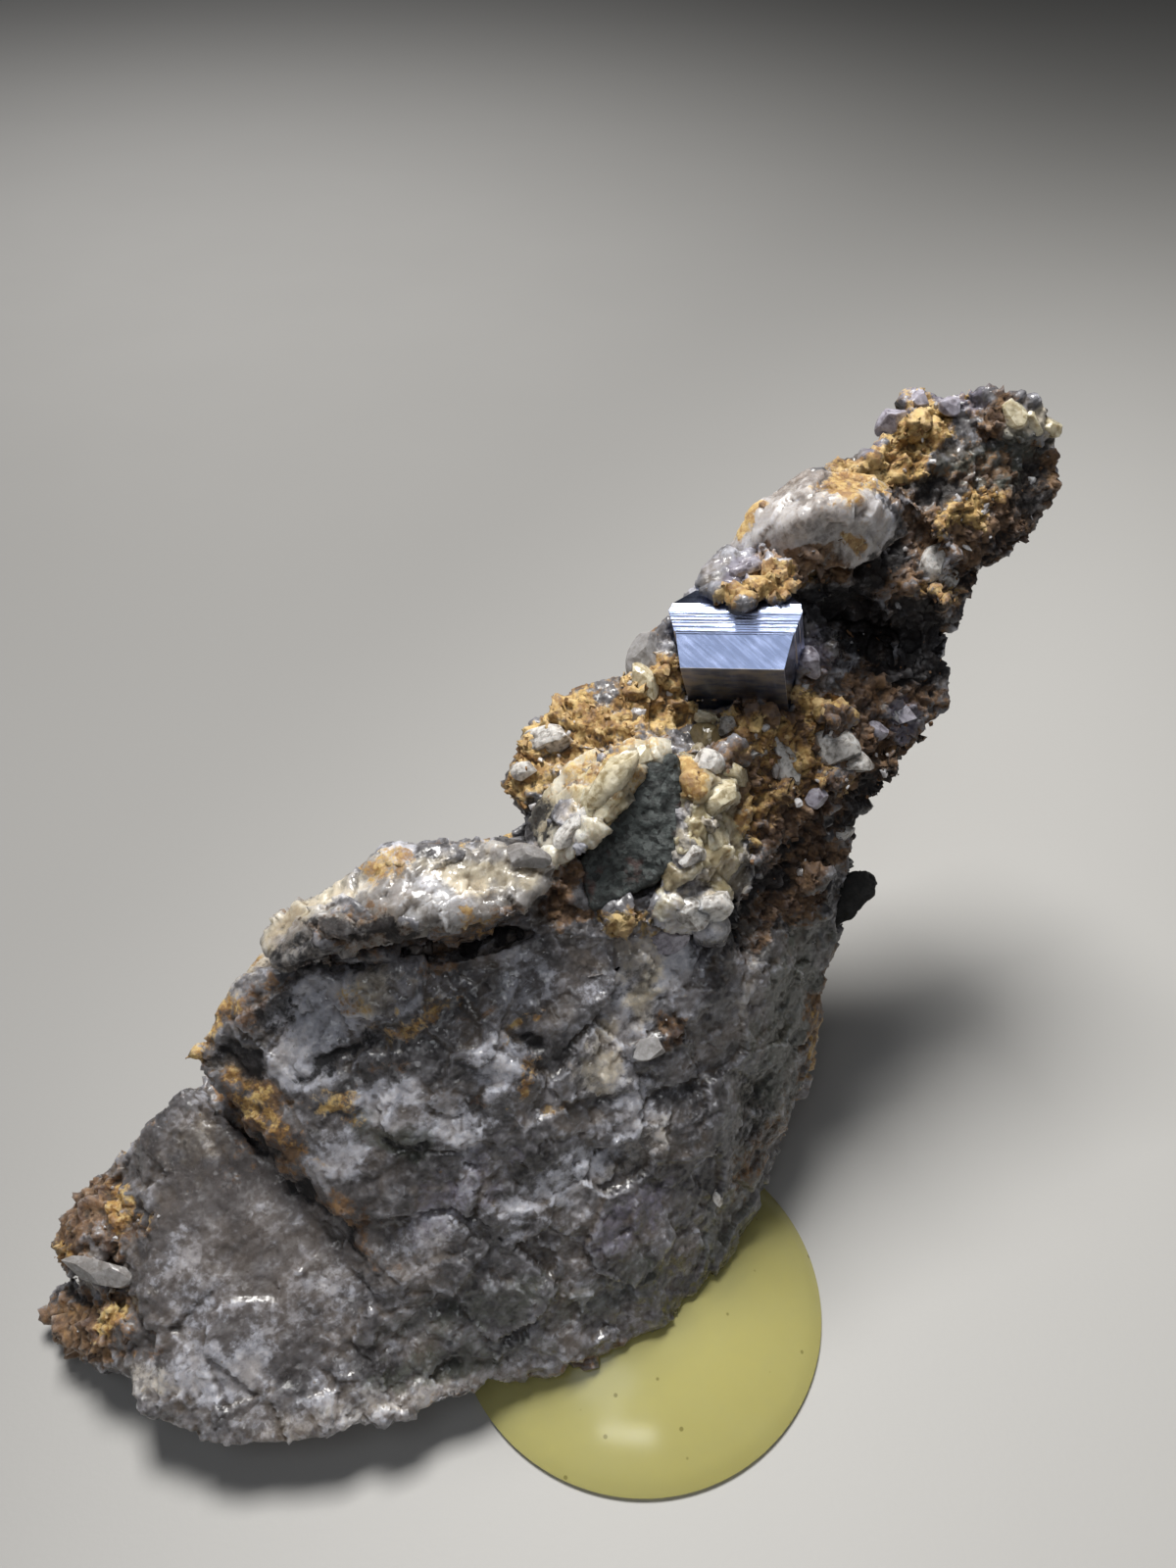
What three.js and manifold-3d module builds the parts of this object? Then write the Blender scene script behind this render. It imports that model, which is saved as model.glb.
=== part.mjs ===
// An anatase crystal on a wedge of iron-stained vein quartz that leans back on a yellow resin dome.
// Millimetres, +Z up. The origin is the middle of the dome's flat base, on the table.
import * as THREE from "three";
import { ConvexGeometry } from "three/addons/geometries/ConvexGeometry.js";
import { ImprovedNoise } from "three/addons/math/ImprovedNoise.js";
import { MeshSurfaceSampler } from "three/addons/math/MeshSurfaceSampler.js";
import { mergeVertices } from "three/addons/utils/BufferGeometryUtils.js";
import Module from "manifold-3d";

const wasm = await Module();
wasm.setup();

// Driving dimensions
const GAP = 0.3; // between pieces that touch
const DOME_RADIUS = 14.6;
const DOME_HEIGHT = 5;
const DOME_RIM = 0.5; // height of the upright rim under the dome's curve
const DOME_SIDES = 40;
const DOME_RINGS = 7;

// The specimen's broad face slopes back from the viewer. Its shapes are drawn in that sloping frame:
// x to the right, y up the slope, z out of the face.
const FACE_SLOPE = 47; // degrees above the table
const FACE_ORIGIN = [-4, 24.3, 34]; // the sloping frame's origin, above the table

// Fractured lumps of quartz, each the hull of the corners of its front and of its back
const BLOCKS = {
  body: {
    front: [
      [-28.4, -19.4, 5.5], [-25, -13.8, 6.5], [-21, -12, 8], [-13, -8, 7.4], [-3, -6, 7.4],
      [7, -10.5, 6], [10, -18, 3.4], [9.4, -32.5, 0.6], [8, -39.4, -0.4], [3.4, -41.6, 2.3],
      [-2.5, -44.1, 2.6], [-10, -44.6, 4.2], [-19, -27, 7.2], [-6, -20, 8.6],
    ],
    back: [[-24, -33, -18], [-6, -19, -31], [13, -19, -31], [17, -25, -25], [-16, -6, -8], [4, -2, -10]],
  },
  nose: {
    front: [
      [-29.8, -22.6, 3.6], [-13, -35.5, 5], [-8, -44.4, 4.2], [-18.5, -46, 7], [-25.5, -46.4, 7.4],
      [-31.5, -44.8, 6], [-34.2, -41, 4], [-37, -37, 0.5], [-37.5, -31, 0], [-33, -26, 2.6],
    ],
    back: [[-27, -21, -9], [-18, -33, -17], [-27, -38, -12], [-34, -33, -9]],
  },
  shoulder: {
    front: [
      [-22.5, -11, 9], [-20, -8.5, 9], [-14, -4.7, 10], [-10.5, -4, 11], [-3.5, -4.7, 11],
      [-2.5, -6.5, 11], [-5, -8.6, 12.6], [-11.5, -9, 13.4], [-17.5, -10.5, 12.6], [-21, -12.2, 11],
    ],
    back: [[-20, -12, 0], [-14, -6, -2], [-4, -5, -2], [-3, -9, 0]],
  },
  neck: {
    front: [
      [-6, 0, 3], [-4, 4.6, 3], [-0.7, 6.9, 3], [3.6, 7.8, 3], [11, 4.6, 2], [19, 1.5, 2],
      [14.3, -4.3, 4], [10, -10, 5.5], [2.7, -10, 8], [-2.7, -7, 8], [5, 2, 7],
    ],
    back: [[-4, -1, -12], [2, 5, -11], [16, 0, -12], [12, -10, -14], [0, -8, -14]],
  },
  arm: {
    front: [
      [3, 10, 3], [6.5, 13, 4], [10, 15.7, 4.4], [15.7, 15, 4], [28.5, 11.4, -2], [27.8, 6, -2],
      [24.4, 0.8, -2], [20.5, -3, -1.5], [12, -2, 5], [3.5, 4.2, 4],
    ],
    back: [[6, 9, -11], [14, 13, -10], [25, 9, -10], [20, 0, -12], [9, 1, -12]],
  },
  upperArm: {
    front: [
      [10, 16.4, 3], [12, 19.4, 3], [16, 23, 2], [22, 25, 2], [30.5, 15.8, -1], [28.6, 12, -1.5],
      [18.8, 12, 3], [14, 14, 5],
    ],
    back: [[13, 16, -8], [17, 20, -8], [25, 22, -8], [26, 13, -9]],
  },
  tip: {
    front: [
      [21, 24.5, 2], [24.3, 29.4, 1], [30, 28.8, 1.5], [35.2, 27.4, 0], [35.8, 23.8, 0],
      [34.6, 19.6, -1], [30.5, 15.8, -1], [25, 19, 3],
    ],
    back: [[24, 24, -8], [29, 26, -8], [33, 22, -8], [28, 16, -8]],
  },
  flank: {
    front: [
      [8, -6, 6.4], [14, -1, 3.4], [20.6, -2.6, -2], [20.4, -12.6, -5], [18.6, -22.7, -8],
      [14.9, -34.2, -9], [12, -36.4, -4.5], [8, -39.4, -0.4], [9.4, -32.5, 0.6], [9.8, -18, 3.6],
    ],
    back: [[12, -6, -16], [17, -12, -20], [14, -28, -18], [4, -20, -26]],
  },
  spine: {
    front: [[-6, -4, -5], [5, 7, -5], [13, 16, -5], [22, 23, -5], [31, 23, -5], [28, 13, -5], [22, 2, -6]],
    back: [[-2, -6, -16], [9, 3, -16], [19, 11, -14], [28, 20, -11]],
  },
};

// Growths that stand proud of the blocks: milky quartz and a crust above the crystal, cream quartz round
// the schist, iron-stained knobs on the nose and the crust on the tip
const GROWTHS = {
  milkyQuartz: [
    [10.6, 16.6, 4], [12, 19.6, 5], [16, 22.6, 5], [21, 21.6, 5], [22.6, 18.6, 5], [20, 16, 6],
    [15.5, 15.2, 6.5], [15, 18.5, 9], [18.5, 19.5, 9.2], [13.4, 17.4, -3], [19, 19.6, -3],
  ],
  crustOverCrystal: [
    [7.6, 14, 6.6], [10.4, 12.6, 8.7], [13.2, 12.7, 8.8], [14.6, 13.6, 8], [16, 15.4, 5.6],
    [9, 16.8, 5.8], [14.4, 17, 6.4], [9, 13.4, 2], [15, 13, 2],
  ],
  creamQuartzLeft: [
    [-3.6, -2.6, 5], [-1.2, 1.2, 6.5], [3.6, 2.9, 7.5], [5.6, 2.6, 7], [2.2, 0, 10],
    [-0.4, -4.6, 10.2], [-2.6, -5.6, 8],
  ],
  creamQuartzRight: [
    [6.6, 2.4, 6], [9.4, 4, 4], [11.8, 0.2, 5], [11.4, -5, 5.5], [8.6, -10.4, 6], [4.6, -10.2, 8],
    [7, -6, 9.2], [7.2, 0, 8.8],
  ],
  tipCrust: [
    [26, 28.8, 0], [29, 29.6, 2], [33, 28.6, 2.4], [35, 27, 1.4], [34.4, 25, 1], [30, 26, 3], [29, 26, -5],
  ],
  noseKnobHigh: [
    [-41.6, -35.6, -2], [-40, -32.6, -2], [-37.8, -30.2, -1.6], [-35.4, -29.4, 0.6], [-33.4, -33, 3.4],
    [-36, -37, 3.4], [-39.6, -37.4, 1], [-38, -33, 2.6], [-37, -33, -7],
  ],
  noseKnobLow: [
    [-42, -41.6, -2.6], [-41.8, -39.2, -2.6], [-37, -37.6, 1.6], [-33.2, -39.2, 5], [-32.8, -43.6, 4],
    [-37, -44.4, -1], [-36.6, -41.4, 3.6], [-36, -39.6, -5],
  ],
  nosePoint: [
    [-40.2, -38.8, -2], [-38.8, -36, 0.4], [-34.4, -35.6, 4.2], [-34, -38.6, 4.4], [-37.8, -39.4, 1],
  ],
};

// Hollows: the overhang under the shoulder, the dark vug beside the crystal, the cleft down the flank
// and the shade under the crystal
const HOLLOWS = {
  overhang: [
    [-20, -12.6, 12], [-11, -10, 15], [-3.5, -9.4, 14], [-2.4, -11, 12], [-9, -13.4, 14],
    [-18, -15, 12], [-17, -12.6, 5.4], [-10, -11.2, 4], [-4, -10.4, 4.6],
  ],
  vug: [
    [15.6, 14.6, 9], [21, 14.6, 8], [27, 12.6, 4], [27, 7.6, 4], [21.5, 6, 7], [16.5, 8, 8],
    [18.5, 12.4, -3.5], [24, 10.6, -4.5], [20, 8.6, -2],
  ],
  cleft: [
    [14.6, -2.6, 9], [12.4, -1.6, 9], [4.4, -16.6, 11], [6.4, -17.6, 11], [12.6, -4.2, 2.4],
    [6.6, -15.4, 3.6],
  ],
  crystalShade: [[5.4, 7.6, 12], [16, 7.6, 12], [15, 4, 11], [8.5, 4, 12], [8, 5.6, 2], [14.5, 5, 1.4]],
};

// Anatase: a steep square dipyramid cut off by a flat base, with growth steps along its faces
const CRYSTAL_CENTRE = [11.1, 10.2, 3.8]; // middle of its square equator
const CRYSTAL_EDGE = 9.3; // along the equator
const CRYSTAL_BASE_EDGE = 7.2; // where the pyramid is cut off
const CRYSTAL_HEIGHT = 4; // from the equator to the cut
const CRYSTAL_ROOT = 2.6; // from the equator to its end in the rock
const CRYSTAL_PITCH = 68; // degrees about x that point its axis down the face and a little out of it
const CRYSTAL_TWIST = 14; // degrees about its own axis
const CRYSTAL_ROLL = -7.7; // degrees in the plane of the face
const GROWTH_STEPS = [0.3, 0.6, 1, 1.4]; // heights of the steps above the equator
const STEP_DEPTH = 0.09;

// A dark schist fragment shut in the quartz: its outline in the face, and how deep it goes
const SCHIST_OUTLINE = [[6, 1.9], [6.5, 0], [6, -5.4], [4, -7.1], [0.3, -8.7], [-0.2, -5.4], [2.7, 0.7]];
const SCHIST_FRONT = 8.3;
const SCHIST_DEPTH = 6;

// A black stub on the flank's edge: the corners of its hull
const STUB_CORNERS = [
  [19.6, -11.6, -4.4], [18.6, -8.2, -4], [21.4, -6.8, -3.4], [23, -7.2, -4.4], [22.6, -8.8, -3.6],
  [21, -10.6, -3.4], [20.4, -7.4, -7], [22.4, -8.2, -7], [20, -10.6, -7.4],
];

// Roughness of the broken faces
const ROUGH_EDGE = 5.4; // longest edge left after the faces are divided
const ROUGH_HEIGHT = 0.55;
const ROUGH_SCALE = 0.28; // noise cells in a millimetre
const GRAIN_HEIGHT = 0.3;
const GRAIN_SCALE = 0.8;

// Small quartz points on the rusty neck and arm, and broken grains all over
const RANDOM_SEED = 7;
const POINT_COUNT = 32;
const POINT_RADIUS = [0.5, 1.2];
const POINT_LENGTH = 0.9; // in radii, from its root to its shoulder
const POINT_LEAN = 0.7; // how far it leans off the surface's normal
const GRAIN_COUNT = 30;
const GRAIN_RADIUS = [0.6, 1.5];
const GRAIN_FLATNESS = 0.55;
const GRAIN_CORNERS = 9;

/** The same numbers on every run, from 0 to 1. */
function randomFrom(seed) {
  let state = seed;
  return () => {
    state = (state * 1664525 + 1013904223) % 4294967296;
    return state / 4294967296;
  };
}
const random = randomFrom(RANDOM_SEED);
const between = ([low, high]) => low + (high - low) * random();

const vector = ([x, y, z]) => new THREE.Vector3(x, y, z);

/** A closed geometry as a solid that can be joined and cut. */
function solid(geometry) {
  const bare = new THREE.BufferGeometry().setAttribute("position", geometry.getAttribute("position"));
  bare.setIndex(geometry.index);
  const merged = mergeVertices(bare, 1e-4);
  return new wasm.Manifold(
    new wasm.Mesh({
      numProp: 3,
      vertProperties: new Float32Array(merged.getAttribute("position").array),
      triVerts: new Uint32Array(merged.index.array),
    }),
  );
}

/** A solid back as a geometry with flat faces. */
function geometryOf(made) {
  const mesh = made.getMesh();
  const geometry = new THREE.BufferGeometry();
  geometry.setAttribute("position", new THREE.BufferAttribute(mesh.vertProperties, mesh.numProp));
  geometry.setIndex(new THREE.BufferAttribute(mesh.triVerts, 1));
  return geometry;
}

const hull = (corners) => solid(new ConvexGeometry(corners.map(vector)));
const join = (solids) => solids.reduce((all, next) => all.add(next));
const largest = (solids) => solids.reduce((best, next) => (next.volume() > best.volume() ? next : best));

/** Halves every edge longer than the limit, the same way on both of its faces, until none is left. */
function divide(geometry, limit) {
  const points = [];
  const position = geometry.getAttribute("position");
  for (let i = 0; i < position.count; i++) points.push(new THREE.Vector3().fromBufferAttribute(position, i));
  const length = (a, b) => points[a].distanceTo(points[b]);
  const middles = new Map();
  const middle = (a, b) => {
    const key = a < b ? `${a} ${b}` : `${b} ${a}`;
    if (!middles.has(key)) middles.set(key, points.push(points[a].clone().lerp(points[b], 0.5)) - 1);
    return middles.get(key);
  };
  const faces = [];
  const split = (a, b, c) => {
    const longest = Math.max(length(a, b), length(b, c), length(c, a));
    if (longest <= limit) faces.push(a, b, c);
    else if (length(a, b) < longest) split(b, c, a);
    else {
      split(a, middle(a, b), c);
      split(middle(a, b), b, c);
    }
  };
  const corner = (i) => geometry.index.getX(i);
  for (let i = 0; i < geometry.index.count; i += 3) split(corner(i), corner(i + 1), corner(i + 2));
  return new THREE.BufferGeometry().setFromPoints(points).setIndex(faces);
}

/** Pushes each point out or in along its normal, by coarse breaks and finer grain. */
function roughen(geometry) {
  const noise = new ImprovedNoise();
  const at = (p, scale) => noise.noise(p.x * scale, p.y * scale, p.z * scale);
  geometry.computeVertexNormals();
  const position = geometry.getAttribute("position");
  const normal = geometry.getAttribute("normal");
  for (let i = 0; i < position.count; i++) {
    const p = new THREE.Vector3().fromBufferAttribute(position, i);
    const out = new THREE.Vector3().fromBufferAttribute(normal, i);
    p.addScaledVector(out, ROUGH_HEIGHT * at(p, ROUGH_SCALE) + GRAIN_HEIGHT * at(p, GRAIN_SCALE));
    position.setXYZ(i, p.x, p.y, p.z);
  }
  return geometry;
}

/** A six-sided quartz point that leans about the surface's normal. */
function quartzPoint(root, normal) {
  const radius = between(POINT_RADIUS);
  const corners = [];
  for (let side = 0; side < 6; side++) {
    const turn = (side * Math.PI) / 3;
    const [x, y] = [radius * Math.cos(turn), radius * Math.sin(turn)];
    corners.push([x, y, -radius], [x, y, radius * POINT_LENGTH]);
  }
  corners.push([0, 0, radius * (POINT_LENGTH + 1.2)]);
  return placed(corners, root, normal.clone().addScaledVector(randomDirection(), POINT_LEAN));
}

/** A direction that is as likely to point anywhere. */
function randomDirection() {
  const turn = random() * Math.PI * 2;
  const height = random() * 2 - 1;
  const reach = Math.sqrt(1 - height * height);
  return new THREE.Vector3(reach * Math.cos(turn), reach * Math.sin(turn), height);
}

/** A broken grain: the hull of a few points on a flattened ball, half sunk in the surface. */
function brokenGrain(root, normal) {
  const radius = between(GRAIN_RADIUS);
  const flattened = new THREE.Vector3(radius, radius, radius * GRAIN_FLATNESS);
  const corner = () => randomDirection().multiply(flattened).toArray();
  return placed(Array.from({ length: GRAIN_CORNERS }, corner), root, normal);
}

/** The hull of corners whose z axis is turned to a direction and moved to a root. */
function placed(corners, root, direction) {
  const turn = new THREE.Quaternion().setFromUnitVectors(vector([0, 0, 1]), direction.clone().normalize());
  return hull(corners.map((c) => vector(c).applyQuaternion(turn).add(root).toArray()));
}

/** Pieces made at random places of a surface where the test allows them. */
function scatter(geometry, count, allowed, make) {
  const sampler = new MeshSurfaceSampler(new THREE.Mesh(geometry)).setRandomGenerator(random).build();
  const made = [];
  const root = new THREE.Vector3();
  const normal = new THREE.Vector3();
  while (made.length < count) {
    sampler.sample(root, normal);
    if (allowed(root, normal)) made.push(make(root, normal));
  }
  return made;
}

/** The dome's profile, grown by a clearance, turned about the upright axis. */
function domeGeometry(clearance) {
  const radius = DOME_RADIUS + clearance;
  const rise = DOME_HEIGHT + clearance - DOME_RIM;
  const ball = (radius * radius + rise * rise) / (2 * rise);
  const sweep = Math.asin(radius / ball);
  const profile = [new THREE.Vector2(0, -clearance), new THREE.Vector2(radius, -clearance)];
  for (let ring = 0; ring < DOME_RINGS; ring++) {
    const angle = sweep * (1 - ring / DOME_RINGS);
    profile.push(new THREE.Vector2(ball * Math.sin(angle), DOME_RIM + rise - ball * (1 - Math.cos(angle))));
  }
  profile.push(new THREE.Vector2(0, DOME_RIM + rise));
  return new THREE.LatheGeometry(profile, DOME_SIDES).rotateX(Math.PI / 2);
}

/** The stepped dipyramid, its axis along z, grown by a clearance. */
function crystalGeometry(clearance) {
  const corner = Math.SQRT1_2; // half of a square's diagonal over its edge
  const edgeAt = (height) => CRYSTAL_EDGE - ((CRYSTAL_EDGE - CRYSTAL_BASE_EDGE) * height) / CRYSTAL_HEIGHT;
  const reach = (edge) => (edge + 2 * clearance) * corner;
  const root = -CRYSTAL_ROOT - clearance;
  const profile = [[0, root], [reach(edgeAt(CRYSTAL_ROOT)), root], [reach(CRYSTAL_EDGE), 0]];
  GROWTH_STEPS.forEach((height, count) => {
    const inset = 2 * STEP_DEPTH * count;
    profile.push([reach(edgeAt(height) - inset), height]);
    profile.push([reach(edgeAt(height) - inset - 2 * STEP_DEPTH), height + STEP_DEPTH]);
  });
  profile.push([reach(CRYSTAL_BASE_EDGE), CRYSTAL_HEIGHT + clearance], [0, CRYSTAL_HEIGHT + clearance]);
  const lathe = new THREE.LatheGeometry(profile.map(([x, y]) => new THREE.Vector2(x, y)), 4);
  return lathe.rotateX(Math.PI / 2).rotateZ(Math.PI / 4);
}

/** The crystal's place in the sloping frame. */
function crystalPlace() {
  const radians = THREE.MathUtils.degToRad;
  const turn = new THREE.Euler(radians(CRYSTAL_PITCH), 0, radians(CRYSTAL_ROLL), "ZXY");
  return new THREE.Matrix4()
    .makeTranslation(vector(CRYSTAL_CENTRE))
    .multiply(new THREE.Matrix4().makeRotationFromEuler(turn))
    .multiply(new THREE.Matrix4().makeRotationZ(radians(CRYSTAL_TWIST)));
}

/** The schist fragment, grown in its outline by a clearance. */
function schistGeometry(clearance) {
  const outline = SCHIST_OUTLINE.map(([x, y]) => new THREE.Vector2(x, y));
  const middle = outline.reduce((sum, p) => sum.add(p), new THREE.Vector2()).divideScalar(outline.length);
  const grown = outline.map((p) => p.sub(middle).setLength(p.length() + 1.3 * clearance).add(middle));
  const reach = clearance > 0 ? SCHIST_DEPTH : 0; // a pocket is cut right out through the face
  const options = { depth: SCHIST_DEPTH + clearance + reach, bevelEnabled: false };
  const back = SCHIST_FRONT - SCHIST_DEPTH - clearance;
  return new THREE.ExtrudeGeometry(new THREE.Shape(grown), options).translate(0, 0, back);
}

/** The stub's hull, grown by a clearance. */
function stubGeometry(clearance) {
  const points = STUB_CORNERS.map(vector);
  const middle = points.reduce((sum, p) => sum.add(p), new THREE.Vector3()).divideScalar(points.length);
  const grow = (p) => p.sub(middle).setLength(p.length() + 1.5 * clearance).add(middle);
  return new ConvexGeometry(points.map(grow));
}

const specimen = new THREE.Group();
specimen.position.fromArray(FACE_ORIGIN);
specimen.rotation.x = THREE.MathUtils.degToRad(FACE_SLOPE);
specimen.updateMatrix();
const toFace = specimen.matrix.clone().invert();

/** The quartz: its broken blocks and growths, less its hollows and the seats of the other pieces. */
function matrixGeometry() {
  const blocks = join(Object.values(BLOCKS).map(({ front, back }) => hull([...front, ...back])));
  const grown = join([blocks, ...Object.values(GROWTHS).map(hull)]);
  const hollowed = Object.values(HOLLOWS).map(hull).reduce((rest, cut) => rest.subtract(cut), grown);
  const surface = roughen(divide(geometryOf(hollowed), ROUGH_EDGE));
  const rusty = (p, out) => p.y > -10 && p.x > 0 && p.x < 30 && out.z > 0.5;
  const anywhere = (p) => p.y > -44;
  const points = scatter(surface, POINT_COUNT, rusty, quartzPoint);
  const grains = scatter(surface, GRAIN_COUNT, anywhere, brokenGrain);
  const table = new THREE.BoxGeometry(400, 400, 40).translate(0, 0, -20).applyMatrix4(toFace);
  const seats = [
    table,
    domeGeometry(GAP).applyMatrix4(toFace),
    crystalGeometry(GAP).applyMatrix4(crystalPlace()),
    schistGeometry(GAP),
    stubGeometry(GAP),
  ];
  const whole = join([solid(surface), ...points, ...grains]);
  const seated = seats.map(solid).reduce((rest, seat) => rest.subtract(seat), whole);
  return geometryOf(largest(seated.decompose()));
}

function addPiece(group, name, geometry, material) {
  const mesh = new THREE.Mesh(geometry, new THREE.MeshStandardMaterial(material));
  mesh.name = name;
  group.add(mesh);
  return mesh;
}

const part = new THREE.Group();
part.add(specimen);
addPiece(specimen, "quartz_matrix", matrixGeometry(), { color: 0x8f8a86, roughness: 0.55 });
addPiece(specimen, "schist_fragment", schistGeometry(0), { color: 0x3a443f, roughness: 0.8 });
addPiece(specimen, "black_stub", stubGeometry(0), { color: 0x14120f, roughness: 0.7 });
const crystal = addPiece(specimen, "anatase_crystal", crystalGeometry(0), {
  color: 0x2c3350,
  roughness: 0.2,
  metalness: 0.6,
});
crystal.applyMatrix4(crystalPlace());
addPiece(part, "resin_dome", domeGeometry(0), { color: 0xc9bf52, roughness: 0.2 });

export default part;
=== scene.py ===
"""An anatase crystal on a wedge of rusty vein quartz that leans back on a yellow resin dome.

Sizes and places are in millimetres, and builders multiply them by MM to get Blender's metres.
Places on the specimen are given in its sloping face frame: x to the right, y up the slope and z out of it.
"""

import itertools
import logging
import math
from collections.abc import Iterator, Sequence
from contextlib import contextmanager
from dataclasses import dataclass, field
from enum import Enum
from typing import Any

import bpy
import numpy as np
from mathutils import Euler, Matrix, Vector, noise


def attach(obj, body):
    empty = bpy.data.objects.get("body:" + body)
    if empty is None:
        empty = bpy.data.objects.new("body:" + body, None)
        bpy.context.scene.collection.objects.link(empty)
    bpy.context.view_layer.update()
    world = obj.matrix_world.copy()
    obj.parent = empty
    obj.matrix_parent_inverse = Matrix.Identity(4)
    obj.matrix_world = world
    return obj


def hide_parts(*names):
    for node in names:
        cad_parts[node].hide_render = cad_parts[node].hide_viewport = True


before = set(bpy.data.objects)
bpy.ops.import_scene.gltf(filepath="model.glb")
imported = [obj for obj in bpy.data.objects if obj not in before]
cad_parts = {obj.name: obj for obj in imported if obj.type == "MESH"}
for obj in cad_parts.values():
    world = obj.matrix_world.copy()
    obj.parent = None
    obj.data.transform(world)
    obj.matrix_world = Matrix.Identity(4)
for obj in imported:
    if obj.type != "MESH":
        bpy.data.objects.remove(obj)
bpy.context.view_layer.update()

MM = 0.001
BODY = "root"
LOG = logging.getLogger("anatase")

QUARTZ_IOR = 1.54
MERGE = 1e-6
PATCH_RAGGED = 0.45
PATCH_REACH = 1.55
PATCH_FADE = 1.1
FACET_LEAN = 3.4
FACET_LIMIT = 1.5
FACET_STEP = 1.7

Colour = tuple[float, float, float]


class Signal:
    """A number that changes over a surface. Python's operators on it add Math nodes."""

    def __init__(self, graph: "Graph", socket: bpy.types.NodeSocket) -> None:
        """Keeps the socket and the graph that it belongs to."""
        self.graph = graph
        self.socket = socket

    def _math(self, operation: str, *values: Any) -> "Signal":
        """Adds a Math node.

        Args:
            operation: The node's operation.
            values: Its inputs, numbers or signals, in order.

        Returns:
            The node's result.
        """
        made = self.graph.node("ShaderNodeMath", {"operation": operation}, dict(enumerate(values)))
        return Signal(self.graph, made.outputs[0])

    def __add__(self, other: Any) -> "Signal":
        """Adds two values."""
        return self._math("ADD", self, other)

    def __radd__(self, other: Any) -> "Signal":
        """Adds a number in front."""
        return self._math("ADD", other, self)

    def __sub__(self, other: Any) -> "Signal":
        """Takes a value away."""
        return self._math("SUBTRACT", self, other)

    def __rsub__(self, other: Any) -> "Signal":
        """Takes this away from a number."""
        return self._math("SUBTRACT", other, self)

    def __mul__(self, other: Any) -> "Signal":
        """Multiplies two values."""
        return self._math("MULTIPLY", self, other)

    def __rmul__(self, other: Any) -> "Signal":
        """Multiplies a number in front."""
        return self._math("MULTIPLY", other, self)

    def __truediv__(self, other: Any) -> "Signal":
        """Divides by a value."""
        return self._math("DIVIDE", self, other)

    def __pow__(self, other: Any) -> "Signal":
        """Raises to a power."""
        return self._math("POWER", self, other)

    def limit(self) -> "Signal":
        """Keeps the value from 0 to 1."""
        return self._math("MINIMUM", self._math("MAXIMUM", self, 0.0), 1.0)

    def rise(self, low: float, high: float) -> "Signal":
        """Turns the value into a smooth step.

        Args:
            low: Where the step is 0.
            high: Where the step is 1.

        Returns:
            The step, from 0 to 1.
        """
        settings = {"interpolation_type": "SMOOTHSTEP"}
        made = self.graph.node("ShaderNodeMapRange", settings, {0: self, 1: low, 2: high, 3: 0.0, 4: 1.0})
        return Signal(self.graph, made.outputs[0])


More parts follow.
